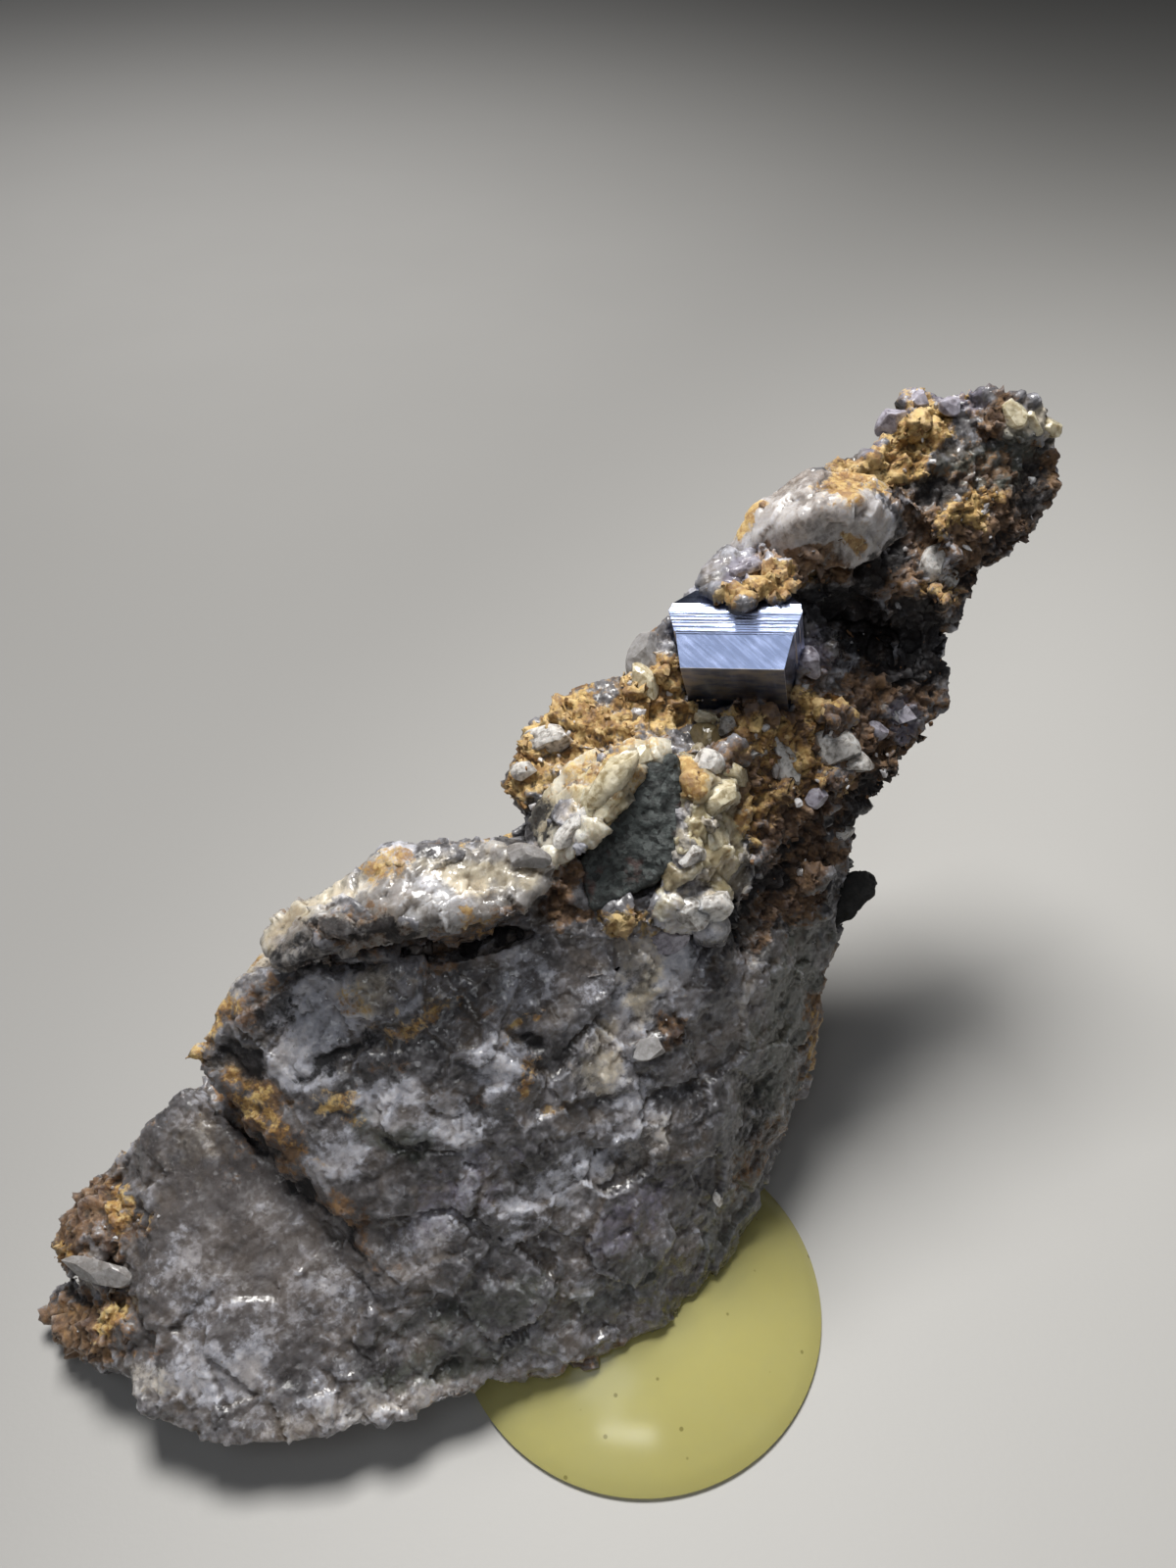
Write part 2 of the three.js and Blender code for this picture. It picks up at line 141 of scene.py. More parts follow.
class Graph:
    """A material's node tree, with its position on the piece in millimetres."""

    def __init__(self, name: str) -> None:
        """Starts an empty material.

        Args:
            name: The material's name.
        """
        self.material = bpy.data.materials.new(name)
        self.material.use_nodes = True
        self.tree = self.material.node_tree
        self.tree.nodes.clear()
        place = self.node("ShaderNodeTexCoord").outputs["Object"]
        self.place = self.vector("SCALE", place, scale=1.0 / MM)

    def node(self, kind: str, settings: dict | None = None, values: dict | None = None) -> bpy.types.Node:
        """Adds a node.

        Args:
            kind: The node's type.
            settings: Its properties, which are set first.
            values: Numbers, colours, signals or sockets for its inputs, by name or index.

        Returns:
            The node.
        """
        made = self.tree.nodes.new(kind)
        for key, value in (settings or {}).items():
            setattr(made, key, value)
        for key, value in (values or {}).items():
            socket = made.inputs[key]
            if isinstance(value, Signal):
                value = value.socket
            if isinstance(value, bpy.types.NodeSocket):
                self.tree.links.new(value, socket)
            elif isinstance(value, tuple) and len(value) == 3 and socket.type == "RGBA":
                socket.default_value = (*value, 1.0)
            else:
                socket.default_value = value
        return made

    def vector(self, operation: str, *values: Any, scale: float | None = None) -> bpy.types.NodeSocket:
        """Adds a Vector Math node.

        Args:
            operation: The node's operation.
            values: Its vectors, in order.
            scale: The factor of a SCALE operation.

        Returns:
            The resulting vector's socket, or the number's for a DOT_PRODUCT.
        """
        inputs: dict = dict(enumerate(values))
        if scale is not None:
            inputs["Scale"] = scale
        made = self.node("ShaderNodeVectorMath", {"operation": operation}, inputs)
        return made.outputs["Value" if operation == "DOT_PRODUCT" else "Vector"]

    def noise(self, scale: float, detail: float = 4.0, rough: float = 0.55, place: Any = None) -> Signal:
        """Cloudy noise.

        Args:
            scale: Features in a millimetre.
            detail: How many finer layers it has.
            rough: How strong the finer layers are.
            place: Where it is read, in place of the piece's own millimetres.

        Returns:
            The noise, about 0.5 on average.
        """
        values = {"Vector": place or self.place, "Scale": scale, "Detail": detail, "Roughness": rough}
        return Signal(self, self.node("ShaderNodeTexNoise", None, values).outputs[0])

    def grains(self, scale: float, place: Any = None) -> tuple[Signal, Signal]:
        """Flat grain faces, each leaning its own way.

        Args:
            scale: Grains in a millimetre.
            place: Where they are read, in place of the piece's own millimetres.

        Returns:
            The height of the faces in millimetres, and a number for each grain from 0 to 1.
        """
        at = place or self.place
        cells = self.node("ShaderNodeTexVoronoi", None, {"Vector": at, "Scale": scale})
        lean = self.vector("SUBTRACT", cells.outputs["Color"], (0.5, 0.5, 0.5))
        offset = self.vector("SUBTRACT", at, cells.outputs["Position"])
        height = Signal(self, self.vector("DOT_PRODUCT", offset, lean))
        number = self.node("ShaderNodeSeparateColor", None, {"Color": cells.outputs["Color"]}).outputs[0]
        return height, Signal(self, number)

    def attribute(self, name: str) -> bpy.types.Node:
        """Reads a named attribute of the mesh."""
        return self.node("ShaderNodeAttribute", {"attribute_name": name})

    def channels(self, name: str) -> list[Signal]:
        """The red, green, blue and alpha of a colour attribute.

        Args:
            name: The attribute's name.

        Returns:
            Its four channels.
        """
        read = self.attribute(name)
        split = self.node("ShaderNodeSeparateColor", None, {"Color": read.outputs["Color"]})
        return [*(Signal(self, split.outputs[i]) for i in range(3)), Signal(self, read.outputs["Alpha"])]

    def mix(self, share: Any, first: Any, second: Any, blend: str = "MIX") -> bpy.types.NodeSocket:
        """Mixes two colours.

        Args:
            share: How much of the second one shows, from 0 to 1.
            first: The colour below.
            second: The colour above.
            blend: How the second one is laid on.

        Returns:
            The mixed colour's socket.
        """
        settings = {"data_type": "RGBA", "blend_type": blend}
        return self.node("ShaderNodeMix", settings, {0: share, 6: first, 7: second}).outputs[2]

    def bump(self, height: Any, strength: float, below: Any = None) -> bpy.types.NodeSocket:
        """Bends the normal by a height.

        Args:
            height: The height in millimetres.
            strength: How much of it shows, from 0 to 1.
            below: A normal that is already bent.

        Returns:
            The bent normal's socket.
        """
        values = {"Strength": strength, "Distance": MM, "Height": height}
        if below is not None:
            values["Normal"] = below
        return self.node("ShaderNodeBump", None, values).outputs[0]

    def surface(self, values: dict, volume: bpy.types.NodeSocket | None = None) -> bpy.types.Material:
        """Ends the material with a Principled shader.

        Args:
            values: The shader's inputs by name.
            volume: A volume shader for a clear piece.

        Returns:
            The finished material.
        """
        shader = self.node("ShaderNodeBsdfPrincipled", None, values)
        ends = {"Surface": shader.outputs[0]}
        if volume is not None:
            ends["Volume"] = volume
        self.node("ShaderNodeOutputMaterial", None, ends)
        return self.material


@dataclass(frozen=True)
class FaceFrame:
    """The specimen's sloping face, and the point in front of it from which it is seen."""

    origin: tuple[float, float, float] = (-4.0, 24.3, 34.0)
    slope: float = 47.0
    distance: float = 93.0

    def turn(self) -> Matrix:
        """The rotation from the face frame to the row frame."""
        return Matrix.Rotation(math.radians(self.slope), 3, "X")

    def local(self, points: np.ndarray) -> np.ndarray:
        """Points of the row frame, in millimetres, as points of the face frame."""
        return (points - np.array(self.origin)) @ np.array(self.turn())

    def seen(self, points: np.ndarray) -> np.ndarray:
        """Where points of the row frame are seen on the face's plane.

        Args:
            points: Points in millimetres.

        Returns:
            Their x and y on the plane.
        """
        local = self.local(points)
        return local[:, :2] * (self.distance / (self.distance - local[:, 2:]))

    def world(self, point: Sequence[float]) -> Vector:
        """A point of the face frame as one of the row frame, in millimetres."""
        return self.turn() @ Vector(point) + Vector(self.origin)

    def eye(self) -> Vector:
        """The point from which the face is seen, in millimetres."""
        return self.world((0.0, 0.0, self.distance))

    def out(self) -> np.ndarray:
        """The direction out of the face."""
        return np.array(self.turn().col[2])


FACE = FaceFrame()


class Zone(Enum):
    """What covers a part of the quartz, or is painted on it as shadow: an attribute of the rock and a channel
    of it.
    """

    MILKY = ("glass", 0)
    CREAM = ("glass", 1)
    VIOLET = ("glass", 2)
    SMOOTH = ("glass", 3)
    OCHRE = ("crust", 0)
    RUST = ("crust", 1)
    # SHADE is painted shadow in recesses, crevices, vugs and gaps, partly the dark matter in them.
    SHADE = ("crust", 2)
    CHLORITE = ("crust", 3)


@dataclass(frozen=True)
class Patch:
    """An oval part of the face with one covering, or with painted shadow."""

    zone: Zone
    x: float
    y: float
    long: float
    wide: float
    turn: float = 0.0
    strength: float = 1.0

    def weigh(self, seen: np.ndarray, ragged: np.ndarray) -> np.ndarray:
        """How much the patch covers each point.

        Args:
            seen: The points on the face's plane.
            ragged: A number for each point that makes the patch's edge ragged.

        Returns:
            A weight for each point, from 0 to 1.
        """
        angle = math.radians(self.turn)
        away = seen - np.array([self.x, self.y])
        along = away[:, 0] * math.cos(angle) + away[:, 1] * math.sin(angle)
        across = away[:, 1] * math.cos(angle) - away[:, 0] * math.sin(angle)
        reach = np.hypot(along / self.long, across / self.wide) + PATCH_RAGGED * ragged
        return self.strength * smooth_step((PATCH_REACH - reach) / PATCH_FADE)


# The SHADE patches in these tables are painted shadow in recesses, crevices, vugs and gaps, partly the dark
# matter in them.
KNOB_PATCHES = (
    Patch(Zone.RUST, -39, -31.5, 3.4, 3),
    Patch(Zone.RUST, -40.5, -35.5, 2.6, 2.8),
    Patch(Zone.RUST, -38.6, -41, 4, 3),
    Patch(Zone.RUST, -36, -34, 2.2, 3, 0, 0.7),
    Patch(Zone.OCHRE, -40, -36, 1.2, 1),
    Patch(Zone.OCHRE, -36.5, -41, 1.6, 1.2),
    Patch(Zone.OCHRE, -35.5, -32.5, 1.4, 1.6, 0, 0.8),
    Patch(Zone.SHADE, -39.6, -38.4, 1.6, 0.8, -20),
    Patch(Zone.RUST, -33.6, -24.6, 6, 1, 52, 0.9),
    Patch(Zone.OCHRE, -31, -21.5, 3, 0.8, 52, 0.9),
)

NOSE_STAINS_AND_SHADOWS = (
    Patch(Zone.SMOOTH, -25, -33, 10, 8),
    Patch(Zone.SMOOTH, -27, -38, 9, 9),
    Patch(Zone.MILKY, -28.5, -45, 4.6, 2.6, 0, 0.8),
    Patch(Zone.MILKY, -29.5, -39.5, 3.4, 3, 0, 0.6),
    Patch(Zone.MILKY, -24, -41.5, 4, 2.4, 20, 0.45),
    Patch(Zone.MILKY, -32, -36.5, 2.6, 2.4, 0, 0.6),
    Patch(Zone.MILKY, -20, -39, 3.4, 2, 30, 0.5),
    Patch(Zone.RUST, -22.2, -29.4, 11, 0.7, -46),
    Patch(Zone.SHADE, -23, -29.6, 9, 0.35, -46, 0.9),
    Patch(Zone.OCHRE, -24.6, -24.6, 5.5, 0.8, -48, 0.9),
    Patch(Zone.RUST, -24.6, -25, 5.5, 2.2, -48, 1.1),
    Patch(Zone.RUST, -19.5, -31, 5, 1.4, -46, 0.9),
    Patch(Zone.RUST, -27, -27, 4.5, 3.2, -20, 0.55),
    Patch(Zone.CREAM, -30, -27.5, 3, 2, 40, 0.5),
    Patch(Zone.CREAM, -16, -47.3, 9, 1.6, 14, 0.45),
    Patch(Zone.CREAM, -33.5, -45.4, 2.6, 1.6, -20, 0.55),
    Patch(Zone.RUST, -33, -43.4, 1.2, 3, 0, 0.6),
    Patch(Zone.CHLORITE, -12, -44.4, 7, 1.4, 15, 0.7),
    Patch(Zone.RUST, -9.5, -46.4, 6, 0.9, 16, 0.8),
    Patch(Zone.SHADE, -8.5, -46.9, 5.5, 0.5, 16, 0.7),
)

BODY_STAINS_AND_SHADOWS = (
    Patch(Zone.CREAM, -22.5, -10.2, 6.4, 2.2, 36, 0.95),
    Patch(Zone.CREAM, -26.6, -14, 3, 1.2, 52, 0.9),
    Patch(Zone.CREAM, -7.4, -6.8, 4.6, 1.6, -4),
    Patch(Zone.MILKY, -14.6, -5, 1.6, 1.1),
    Patch(Zone.MILKY, -11.2, -8.4, 3.6, 2.2, 10, 0.85),
    Patch(Zone.MILKY, -18.4, -8.2, 2.4, 1, 30, 0.7),
    Patch(Zone.OCHRE, -15.2, -6.4, 2.2, 1.3, 20, 0.9),
    Patch(Zone.OCHRE, -10.4, -4.4, 2.4, 0.6, 5, 0.9),
    Patch(Zone.OCHRE, -26.2, -13.2, 3, 0.8, 52, 0.7),
    Patch(Zone.OCHRE, -28.8, -18, 3.4, 1.2, 60, 0.9),
    Patch(Zone.RUST, -16.9, -11, 6.2, 1.5, 2, 0.95),
    Patch(Zone.SHADE, -17, -11.2, 4.6, 0.7, 2, 0.95),
    Patch(Zone.RUST, -9.5, -11, 4.4, 1.6, 14, 0.9),
    Patch(Zone.OCHRE, -9, -10.2, 2.2, 0.7, -20, 0.9),
    Patch(Zone.SHADE, -7.6, -11.8, 2.6, 0.8, 20, 0.9),
    Patch(Zone.RUST, -11.9, -13.9, 5, 1, 12, 0.7),
    Patch(Zone.SHADE, -21.6, -13.4, 3.6, 0.8, 8, 0.6),
    Patch(Zone.MILKY, -20.2, -17.6, 3.4, 2.6),
    Patch(Zone.MILKY, -4.2, -14.4, 3.2, 2.2, 0, 0.85),
    Patch(Zone.MILKY, 1.6, -16.6, 2, 3, 20, 0.6),
    Patch(Zone.CREAM, -16, -15.6, 2.2, 1.5, 20, 0.75),
    Patch(Zone.MILKY, -9.8, -26.3, 2.6, 1.5, 10, 0.95),
    Patch(Zone.MILKY, -15.6, -24.2, 2.2, 1.6, 0, 0.8),
    Patch(Zone.MILKY, -18.9, -28.4, 3.2, 2, 30, 0.95),
    Patch(Zone.MILKY, -22.3, -21.8, 2.4, 1.6, 0, 0.95),
    Patch(Zone.MILKY, -6.9, -21.4, 2.4, 1.8, 0, 0.8),
    Patch(Zone.MILKY, -2, -30, 5, 1.6, 36, 0.8),
    Patch(Zone.MILKY, 4, -25, 3, 2, 50, 0.75),
    Patch(Zone.MILKY, -12, -34, 3.4, 1.8, 36, 0.7),
    Patch(Zone.CREAM, 1, -21, 2.4, 1.6, 80, 0.8),
    Patch(Zone.CREAM, 4.6, -15.4, 2.6, 1.2, 70, 0.9),
    Patch(Zone.MILKY, 6.4, -14.4, 2.4, 1.4, 60, 0.8),
    Patch(Zone.OCHRE, -13.4, -18, 3, 0.9, 25, 0.8),
    Patch(Zone.OCHRE, -17.7, -16.4, 1.6, 0.8, 20, 0.8),
    Patch(Zone.OCHRE, -4.8, -18.4, 2.6, 0.6, 52, 0.8),
    Patch(Zone.OCHRE, -19, -24.7, 1.8, 1, -20, 0.85),
    Patch(Zone.OCHRE, -4.7, -22.6, 1.7, 0.8, 65, 0.8),
    Patch(Zone.OCHRE, -2.4, -24.8, 1, 0.8, 0, 0.8),
    Patch(Zone.RUST, -8.4, -23.8, 1.6, 0.7, 20, 0.7),
    Patch(Zone.RUST, -8.6, -17.4, 2, 0.7, 40, 0.7),
    Patch(Zone.RUST, -15.4, -21.4, 2, 0.8, 10, 0.7),
    Patch(Zone.RUST, -25, -16.4, 3, 2.2, 30, 0.8),
    Patch(Zone.SHADE, -26.6, -21, 2.2, 1.2, -30, 0.9),
    Patch(Zone.SHADE, -18.8, -20.9, 3, 0.8, 20, 0.85),
    Patch(Zone.SHADE, -4.5, -20.2, 0.8, 0.7, 0, 0.9),
    Patch(Zone.SHADE, -23.6, -17.4, 1.2, 2, 0, 0.6),
    Patch(Zone.CHLORITE, -14, -27.2, 3.4, 1.2, -22, 0.95),
    Patch(Zone.SHADE, -13.4, -27.6, 2.4, 0.5, -22, 0.7),
    Patch(Zone.SMOOTH, -3.6, -14.5, 4, 2.4, 0, 0.8),
    Patch(Zone.CREAM, 4, -28, 5, 0.8, 48, 0.5),
    Patch(Zone.RUST, -0.5, -44.4, 8, 0.9, 22, 0.8),
    Patch(Zone.SHADE, 4, -43.7, 5, 0.6, 24, 0.8),
    Patch(Zone.CHLORITE, -9, -40, 7, 1.6, 18, 0.6),
    Patch(Zone.CHLORITE, 1.5, -38.5, 5, 1.6, 26, 0.6),
    Patch(Zone.VIOLET, -10, -31, 5, 2, 36, 0.5),
    Patch(Zone.VIOLET, 3, -33, 4, 2, 40, 0.5),
)

NECK_PATCHES = (
    Patch(Zone.OCHRE, -0.8, 4.2, 4.8, 3, 20),
    Patch(Zone.OCHRE, -5, 0.6, 1.8, 2.4),
    Patch(Zone.OCHRE, 4.6, 6, 3.6, 2),
    Patch(Zone.OCHRE, 6.6, 8.4, 2, 1.6),
    Patch(Zone.CREAM, 0.3, -0.4, 2.8, 2, 60),
    Patch(Zone.MILKY, -1, -3, 2, 1.2, 60, 0.8),
    Patch(Zone.SHADE, -3.8, -2.4, 1.9, 1.7, 0, 0.9),
    Patch(Zone.RUST, -1.8, -8.4, 2.6, 1.7, 80),
    Patch(Zone.CREAM, 9.3, -3.8, 6, 2.4, 98),
    Patch(Zone.MILKY, 8.3, -9.8, 2.6, 2),
    Patch(Zone.MILKY, 6.3, -11.6, 2.2, 1.6),
    Patch(Zone.OCHRE, 7.9, 0.2, 1.7, 1.1, 90),
    Patch(Zone.OCHRE, 3, -10.6, 2.2, 1, 0, 0.8),
    Patch(Zone.CREAM, 3.5, -13, 2.6, 1.4, 70, 0.6),
    Patch(Zone.RUST, 14.4, 0, 6, 4.8, -35),
    Patch(Zone.RUST, 14, 5.4, 5, 2.2, -20),
    Patch(Zone.OCHRE, 13.6, 3.6, 4, 1.4, -25, 0.95),
    Patch(Zone.OCHRE, 0, 3, 6.5, 4.4, 25, 0.6),
    Patch(Zone.OCHRE, 17.4, 6.3, 2, 1.4),
    Patch(Zone.OCHRE, 12.8, -2.4, 1.4, 2.6, -20, 0.7),
    Patch(Zone.OCHRE, 16, 2, 5, 3, 0, 0.6),
    Patch(Zone.SHADE, 13.2, -8.4, 4.6, 1.1, 52),
    Patch(Zone.RUST, 15.6, -7, 5.5, 2.4, 52),
    Patch(Zone.RUST, 6, -18.4, 2, 1.4, 60, 0.7),
)

ARM_PATCHES = (
    Patch(Zone.RUST, 20, 6, 9, 6, 45, 0.72),
    Patch(Zone.RUST, 27, 18, 9, 7, 45, 0.72),
    Patch(Zone.RUST, 14, -1, 6, 5, -40, 0.7),
    Patch(Zone.SHADE, 18.8, 13.6, 3.6, 1.9),
    Patch(Zone.SHADE, 25.4, 10.6, 3.6, 3.8),
    Patch(Zone.SHADE, 22, 11.2, 4, 1.8),
    Patch(Zone.RUST, 20.6, 12.2, 3.2, 1, 10, 0.8),
    Patch(Zone.RUST, 23.4, 7, 4.4, 2.4),
    Patch(Zone.RUST, 22.6, 2.2, 5, 3.4, 45),
    Patch(Zone.SHADE, 21.6, -0.6, 4, 1.4, 45, 0.8),
    Patch(Zone.MILKY, 19.4, 9, 2, 0.7, 35, 0.8),
    Patch(Zone.VIOLET, 23.8, 5, 1.6, 1.5),
    Patch(Zone.VIOLET, 17.4, 10, 1.4, 2.2, 0, 0.7),
    Patch(Zone.RUST, 17.8, 7.8, 1.6, 2, 0, 0.8),
    Patch(Zone.MILKY, 15, 19, 5, 3, 25),
    Patch(Zone.MILKY, 20, 19.4, 3.2, 2.6),
    Patch(Zone.SMOOTH, 15.6, 19, 5.6, 3.6, 20),
    Patch(Zone.OCHRE, 21.8, 23.8, 4, 1.6, 22),
    Patch(Zone.OCHRE, 25, 26.8, 3.4, 2.2, 40),
    Patch(Zone.RUST, 18, 16.2, 4, 1, 8),
    Patch(Zone.RUST, 16.6, 17.4, 3.4, 0.9, 12, 1.5),
    Patch(Zone.RUST, 13, 17.2, 1.8, 0.9, 30, 1.4),
    Patch(Zone.VIOLET, 11.6, 16.6, 1.8, 1.2, 20, 1.0),
    Patch(Zone.OCHRE, 13.6, 14.9, 3.6, 1, 6),
    Patch(Zone.OCHRE, 20.2, 18.6, 0.9, 0.8),
    Patch(Zone.OCHRE, 12.6, 20.8, 0.8, 0.6),
    Patch(Zone.OCHRE, 11.8, 19.2, 0.5, 0.9),
    Patch(Zone.VIOLET, 22.6, 27, 2.6, 1.3, 55),
    Patch(Zone.VIOLET, 26.6, 29.2, 3.2, 1.2),
    Patch(Zone.RUST, 30.3, 28, 1.8, 1.8),
    Patch(Zone.CREAM, 33.6, 27.2, 2.2, 1.5),
    Patch(Zone.CHLORITE, 30, 23.6, 5, 2.6, 10),
    Patch(Zone.SHADE, 26.6, 22.2, 2.2, 1.4),
    Patch(Zone.SHADE, 33.4, 22, 1.6, 2.4, 0, 0.7),
    Patch(Zone.RUST, 35.2, 23, 3.6, 1.4, 90),
    Patch(Zone.RUST, 30, 18, 4.8, 3.2, 45),
    Patch(Zone.SHADE, 29.6, 16.4, 3.4, 1.2, 45, 0.7),
    Patch(Zone.OCHRE, 28.6, 20.8, 2.6, 0.9, 30),
    Patch(Zone.OCHRE, 27, 14.6, 2, 1, 0, 0.8),
    Patch(Zone.MILKY, 26.6, 16.8, 1.8, 1.4, 70),
    Patch(Zone.SHADE, 22.4, 16.8, 3.4, 1, 50),
)

FLANK_STAINS_AND_SHADOWS = (
    Patch(Zone.CHLORITE, 15, -18.6, 9, 2.6, 72, 0.8),
    Patch(Zone.RUST, 17.8, -17.4, 6, 1.1, 74, 0.9),
    Patch(Zone.RUST, 13, -28, 5, 1.2, 66, 0.7),
    Patch(Zone.OCHRE, 17.6, -19.4, 2.4, 0.8, 74, 0.8),
    Patch(Zone.CHLORITE, 11, -33, 4, 1.4, 60, 0.7),
    Patch(Zone.SHADE, 12.6, -25, 1.2, 3, 0, 0.6),
    Patch(Zone.CREAM, 12, -15, 5, 1, 70, 0.5),
)

THICK_PATCHES = KNOB_PATCHES + NECK_PATCHES + ARM_PATCHES
THIN_PATCHES = NOSE_STAINS_AND_SHADOWS + BODY_STAINS_AND_SHADOWS + FLANK_STAINS_AND_SHADOWS
THIN_SHARE = 0.66


def smooth_step(values: np.ndarray) -> np.ndarray:
    """A smooth step from 0 to 1 as the values go from 0 to 1."""
    held = np.clip(values, 0.0, 1.0)
    return held * held * (3.0 - 2.0 * held)


def cloud(points: np.ndarray, scale: float, octaves: int = 3, shift: float = 0.0) -> np.ndarray:
    """Fractal noise at points.

    Args:
        points: Points in millimetres.
        scale: Features in a millimetre.
        octaves: How many layers it has.
        shift: Moves the noise, so that two clouds differ.

    Returns:
        A number for each point, about 0 on average.
    """
    moved = points * scale + shift
    return np.array([noise.fractal(Vector(p), 0.9, 2.0, octaves) for p in moved])


def chances(cells: np.ndarray, count: int, seed: int) -> np.ndarray:
    """Numbers of chance that depend on a cell of space alone.

    Args:
        cells: The cells, as whole numbers along x, y and z.
        count: How many numbers each one gets.
        seed: The seed.

    Returns:
        Numbers from 0 to 1, a row for each cell.
    """
    primes = np.array([73856093, 19349663, 83492791], np.int64)
    mixed = (cells * primes).astype(np.uint64)
    state = mixed[:, 0] ^ mixed[:, 1] ^ mixed[:, 2] ^ np.uint64(seed * 2654435761)
    rows = []
    for _ in range(count):
        state = state * np.uint64(6364136223846793005) + np.uint64(1442695040888963407)
        rows.append(((state ^ (state >> np.uint64(29))) >> np.uint64(24)) % np.uint64(65536))
    return np.stack(rows, axis=1).astype(float) / 65536.0


def facets(points: np.ndarray, size: float, seed: int) -> tuple[np.ndarray, np.ndarray]:
    """Flat faces that lean at random about points strewn through space.

    Args:
        points: Points in millimetres.
        size: The faces' size.
        seed: The seed.

    Returns:
        A height for each point, mostly from -1 to 1, and a number for its face from 0 to 1.
    """
    cells = np.floor(points / size).astype(np.int64)
    best = np.full(len(points), np.inf)
    height = np.zeros(len(points))
    number = np.zeros(len(points))
    for shift in itertools.product((-1, 0, 1), repeat=3):
        near = cells + np.array(shift)
        chance = chances(near, 8, seed)
        away = points / size - near - chance[:, :3]
        reach = (away**2).sum(1)
        closer = reach < best
        best[closer] = reach[closer]
        lean = (away * (chance[:, 3:6] - 0.5) * FACET_LEAN).sum(1).clip(-FACET_LIMIT, FACET_LIMIT)
        lean += (chance[:, 6] - 0.5) * FACET_STEP
        height[closer] = lean[closer]
        number[closer] = chance[closer, 7]
    return height, number


def deselect() -> None:
    """Leaves object mode with nothing selected."""
    if bpy.context.object and bpy.context.object.mode != "OBJECT":
        bpy.ops.object.mode_set(mode="OBJECT")
    bpy.ops.object.select_all(action="DESELECT")


def select_only(piece: bpy.types.Object) -> None:
    """Makes a piece the only selected and the active one.

    Args:
        piece: The piece.
    """
    deselect()
    piece.select_set(True)
    bpy.context.view_layer.objects.active = piece


@contextmanager
def editing(piece: bpy.types.Object) -> Iterator[None]:
    """Holds a piece in edit mode, with all of its mesh selected at first.

    Args:
        piece: The piece.

    Yields:
        Nothing, while the piece is edited.
    """
    select_only(piece)
    bpy.ops.object.mode_set(mode="EDIT")
    bpy.ops.mesh.select_all(action="SELECT")
    yield
    bpy.ops.object.mode_set(mode="OBJECT")


def copy_of_node(node: str, name: str) -> bpy.types.Object:
    """A piece that starts as a merged copy of a node.

    Args:
        node: The node's name.
        name: The new piece's name.

    Returns:
        The piece.
    """
    piece = bpy.data.objects.new(name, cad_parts[node].data.copy())
    bpy.context.scene.collection.objects.link(piece)
    piece.data.materials.clear()
    with editing(piece):
        bpy.ops.mesh.remove_doubles(threshold=MERGE)
    return piece


def apply_modifier(piece: bpy.types.Object, kind: str, **settings: Any) -> None:
    """Adds a modifier to a piece and applies it.

    Args:
        piece: The piece.
        kind: The modifier's type.
        settings: Its properties.
    """
    select_only(piece)
    modifier = piece.modifiers.new(kind.lower(), kind)
    for key, value in settings.items():
        setattr(modifier, key, value)
    bpy.ops.object.modifier_apply(modifier=modifier.name)


def divide(piece: bpy.types.Object, voxel: float, rounding: int = 0) -> None:
    """Divides a piece finely and evenly.

    Args:
        piece: The piece.
        voxel: The size of its new faces in millimetres.
        rounding: How many times it is smoothed.
    """
    apply_modifier(piece, "REMESH", mode="VOXEL", voxel_size=voxel * MM)
    if rounding:
        apply_modifier(piece, "SMOOTH", factor=0.5, iterations=rounding)


def shade_smooth(piece: bpy.types.Object) -> None:
    """Shades a piece smoothly."""
    select_only(piece)
    bpy.ops.object.shade_smooth()


def mesh_points(piece: bpy.types.Object) -> tuple[np.ndarray, np.ndarray]:
    """A mesh's vertices and normals.

    Args:
        piece: The piece.

    Returns:
        The vertices in millimetres, and their normals.
    """
    count = len(piece.data.vertices)
    places = np.empty(count * 3, np.float32)
    piece.data.vertices.foreach_get("co", places)
    normals = np.empty(count * 3, np.float32)
    piece.data.vertex_normals.foreach_get("vector", normals)
    return places.reshape(-1, 3).astype(float) / MM, normals.reshape(-1, 3).astype(float)


def move_points(piece: bpy.types.Object, points: np.ndarray) -> None:
    """Puts a mesh's vertices at points given in millimetres."""
    piece.data.vertices.foreach_set("co", (points * MM).astype(np.float32).ravel())
    piece.data.update()


def set_attribute(piece: bpy.types.Object, name: str, values: np.ndarray) -> None:
    """Stores a number or a colour for each vertex.

    Args:
        piece: The piece.
        name: The attribute's name.
        values: One number, or four, for each vertex.
    """
    if values.ndim == 1:
        made = piece.data.attributes.new(name, "FLOAT", "POINT")
        made.data.foreach_set("value", values.astype(np.float32))
    else:
        made = piece.data.attributes.new(name, "FLOAT_COLOR", "POINT")
        made.data.foreach_set("color", values.astype(np.float32).ravel())


def mesh_piece(name: str, vertices: np.ndarray, faces: Sequence[Sequence[int]]) -> bpy.types.Object:
    """A piece from arrays.

    Args:
        name: The piece's name.
        vertices: Its vertices in millimetres.
        faces: The corners of its faces.

    Returns:
        The piece.
    """
    mesh = bpy.data.meshes.new(name)
    mesh.from_pydata((vertices * MM).tolist(), [], [list(map(int, f)) for f in faces])
    mesh.update()
    piece = bpy.data.objects.new(name, mesh)
    bpy.context.scene.collection.objects.link(piece)
    return piece


def finish_piece(piece: bpy.types.Object, material: bpy.types.Material, slot: str, *nodes: str) -> None:
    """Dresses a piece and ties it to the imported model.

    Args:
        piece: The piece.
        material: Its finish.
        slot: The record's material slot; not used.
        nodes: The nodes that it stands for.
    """
    piece.data.materials.clear()
    piece.data.materials.append(material)
    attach(piece, BODY)
    if nodes:
        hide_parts(*nodes)
    LOG.info("%s: %d faces", piece.name, len(piece.data.polygons))


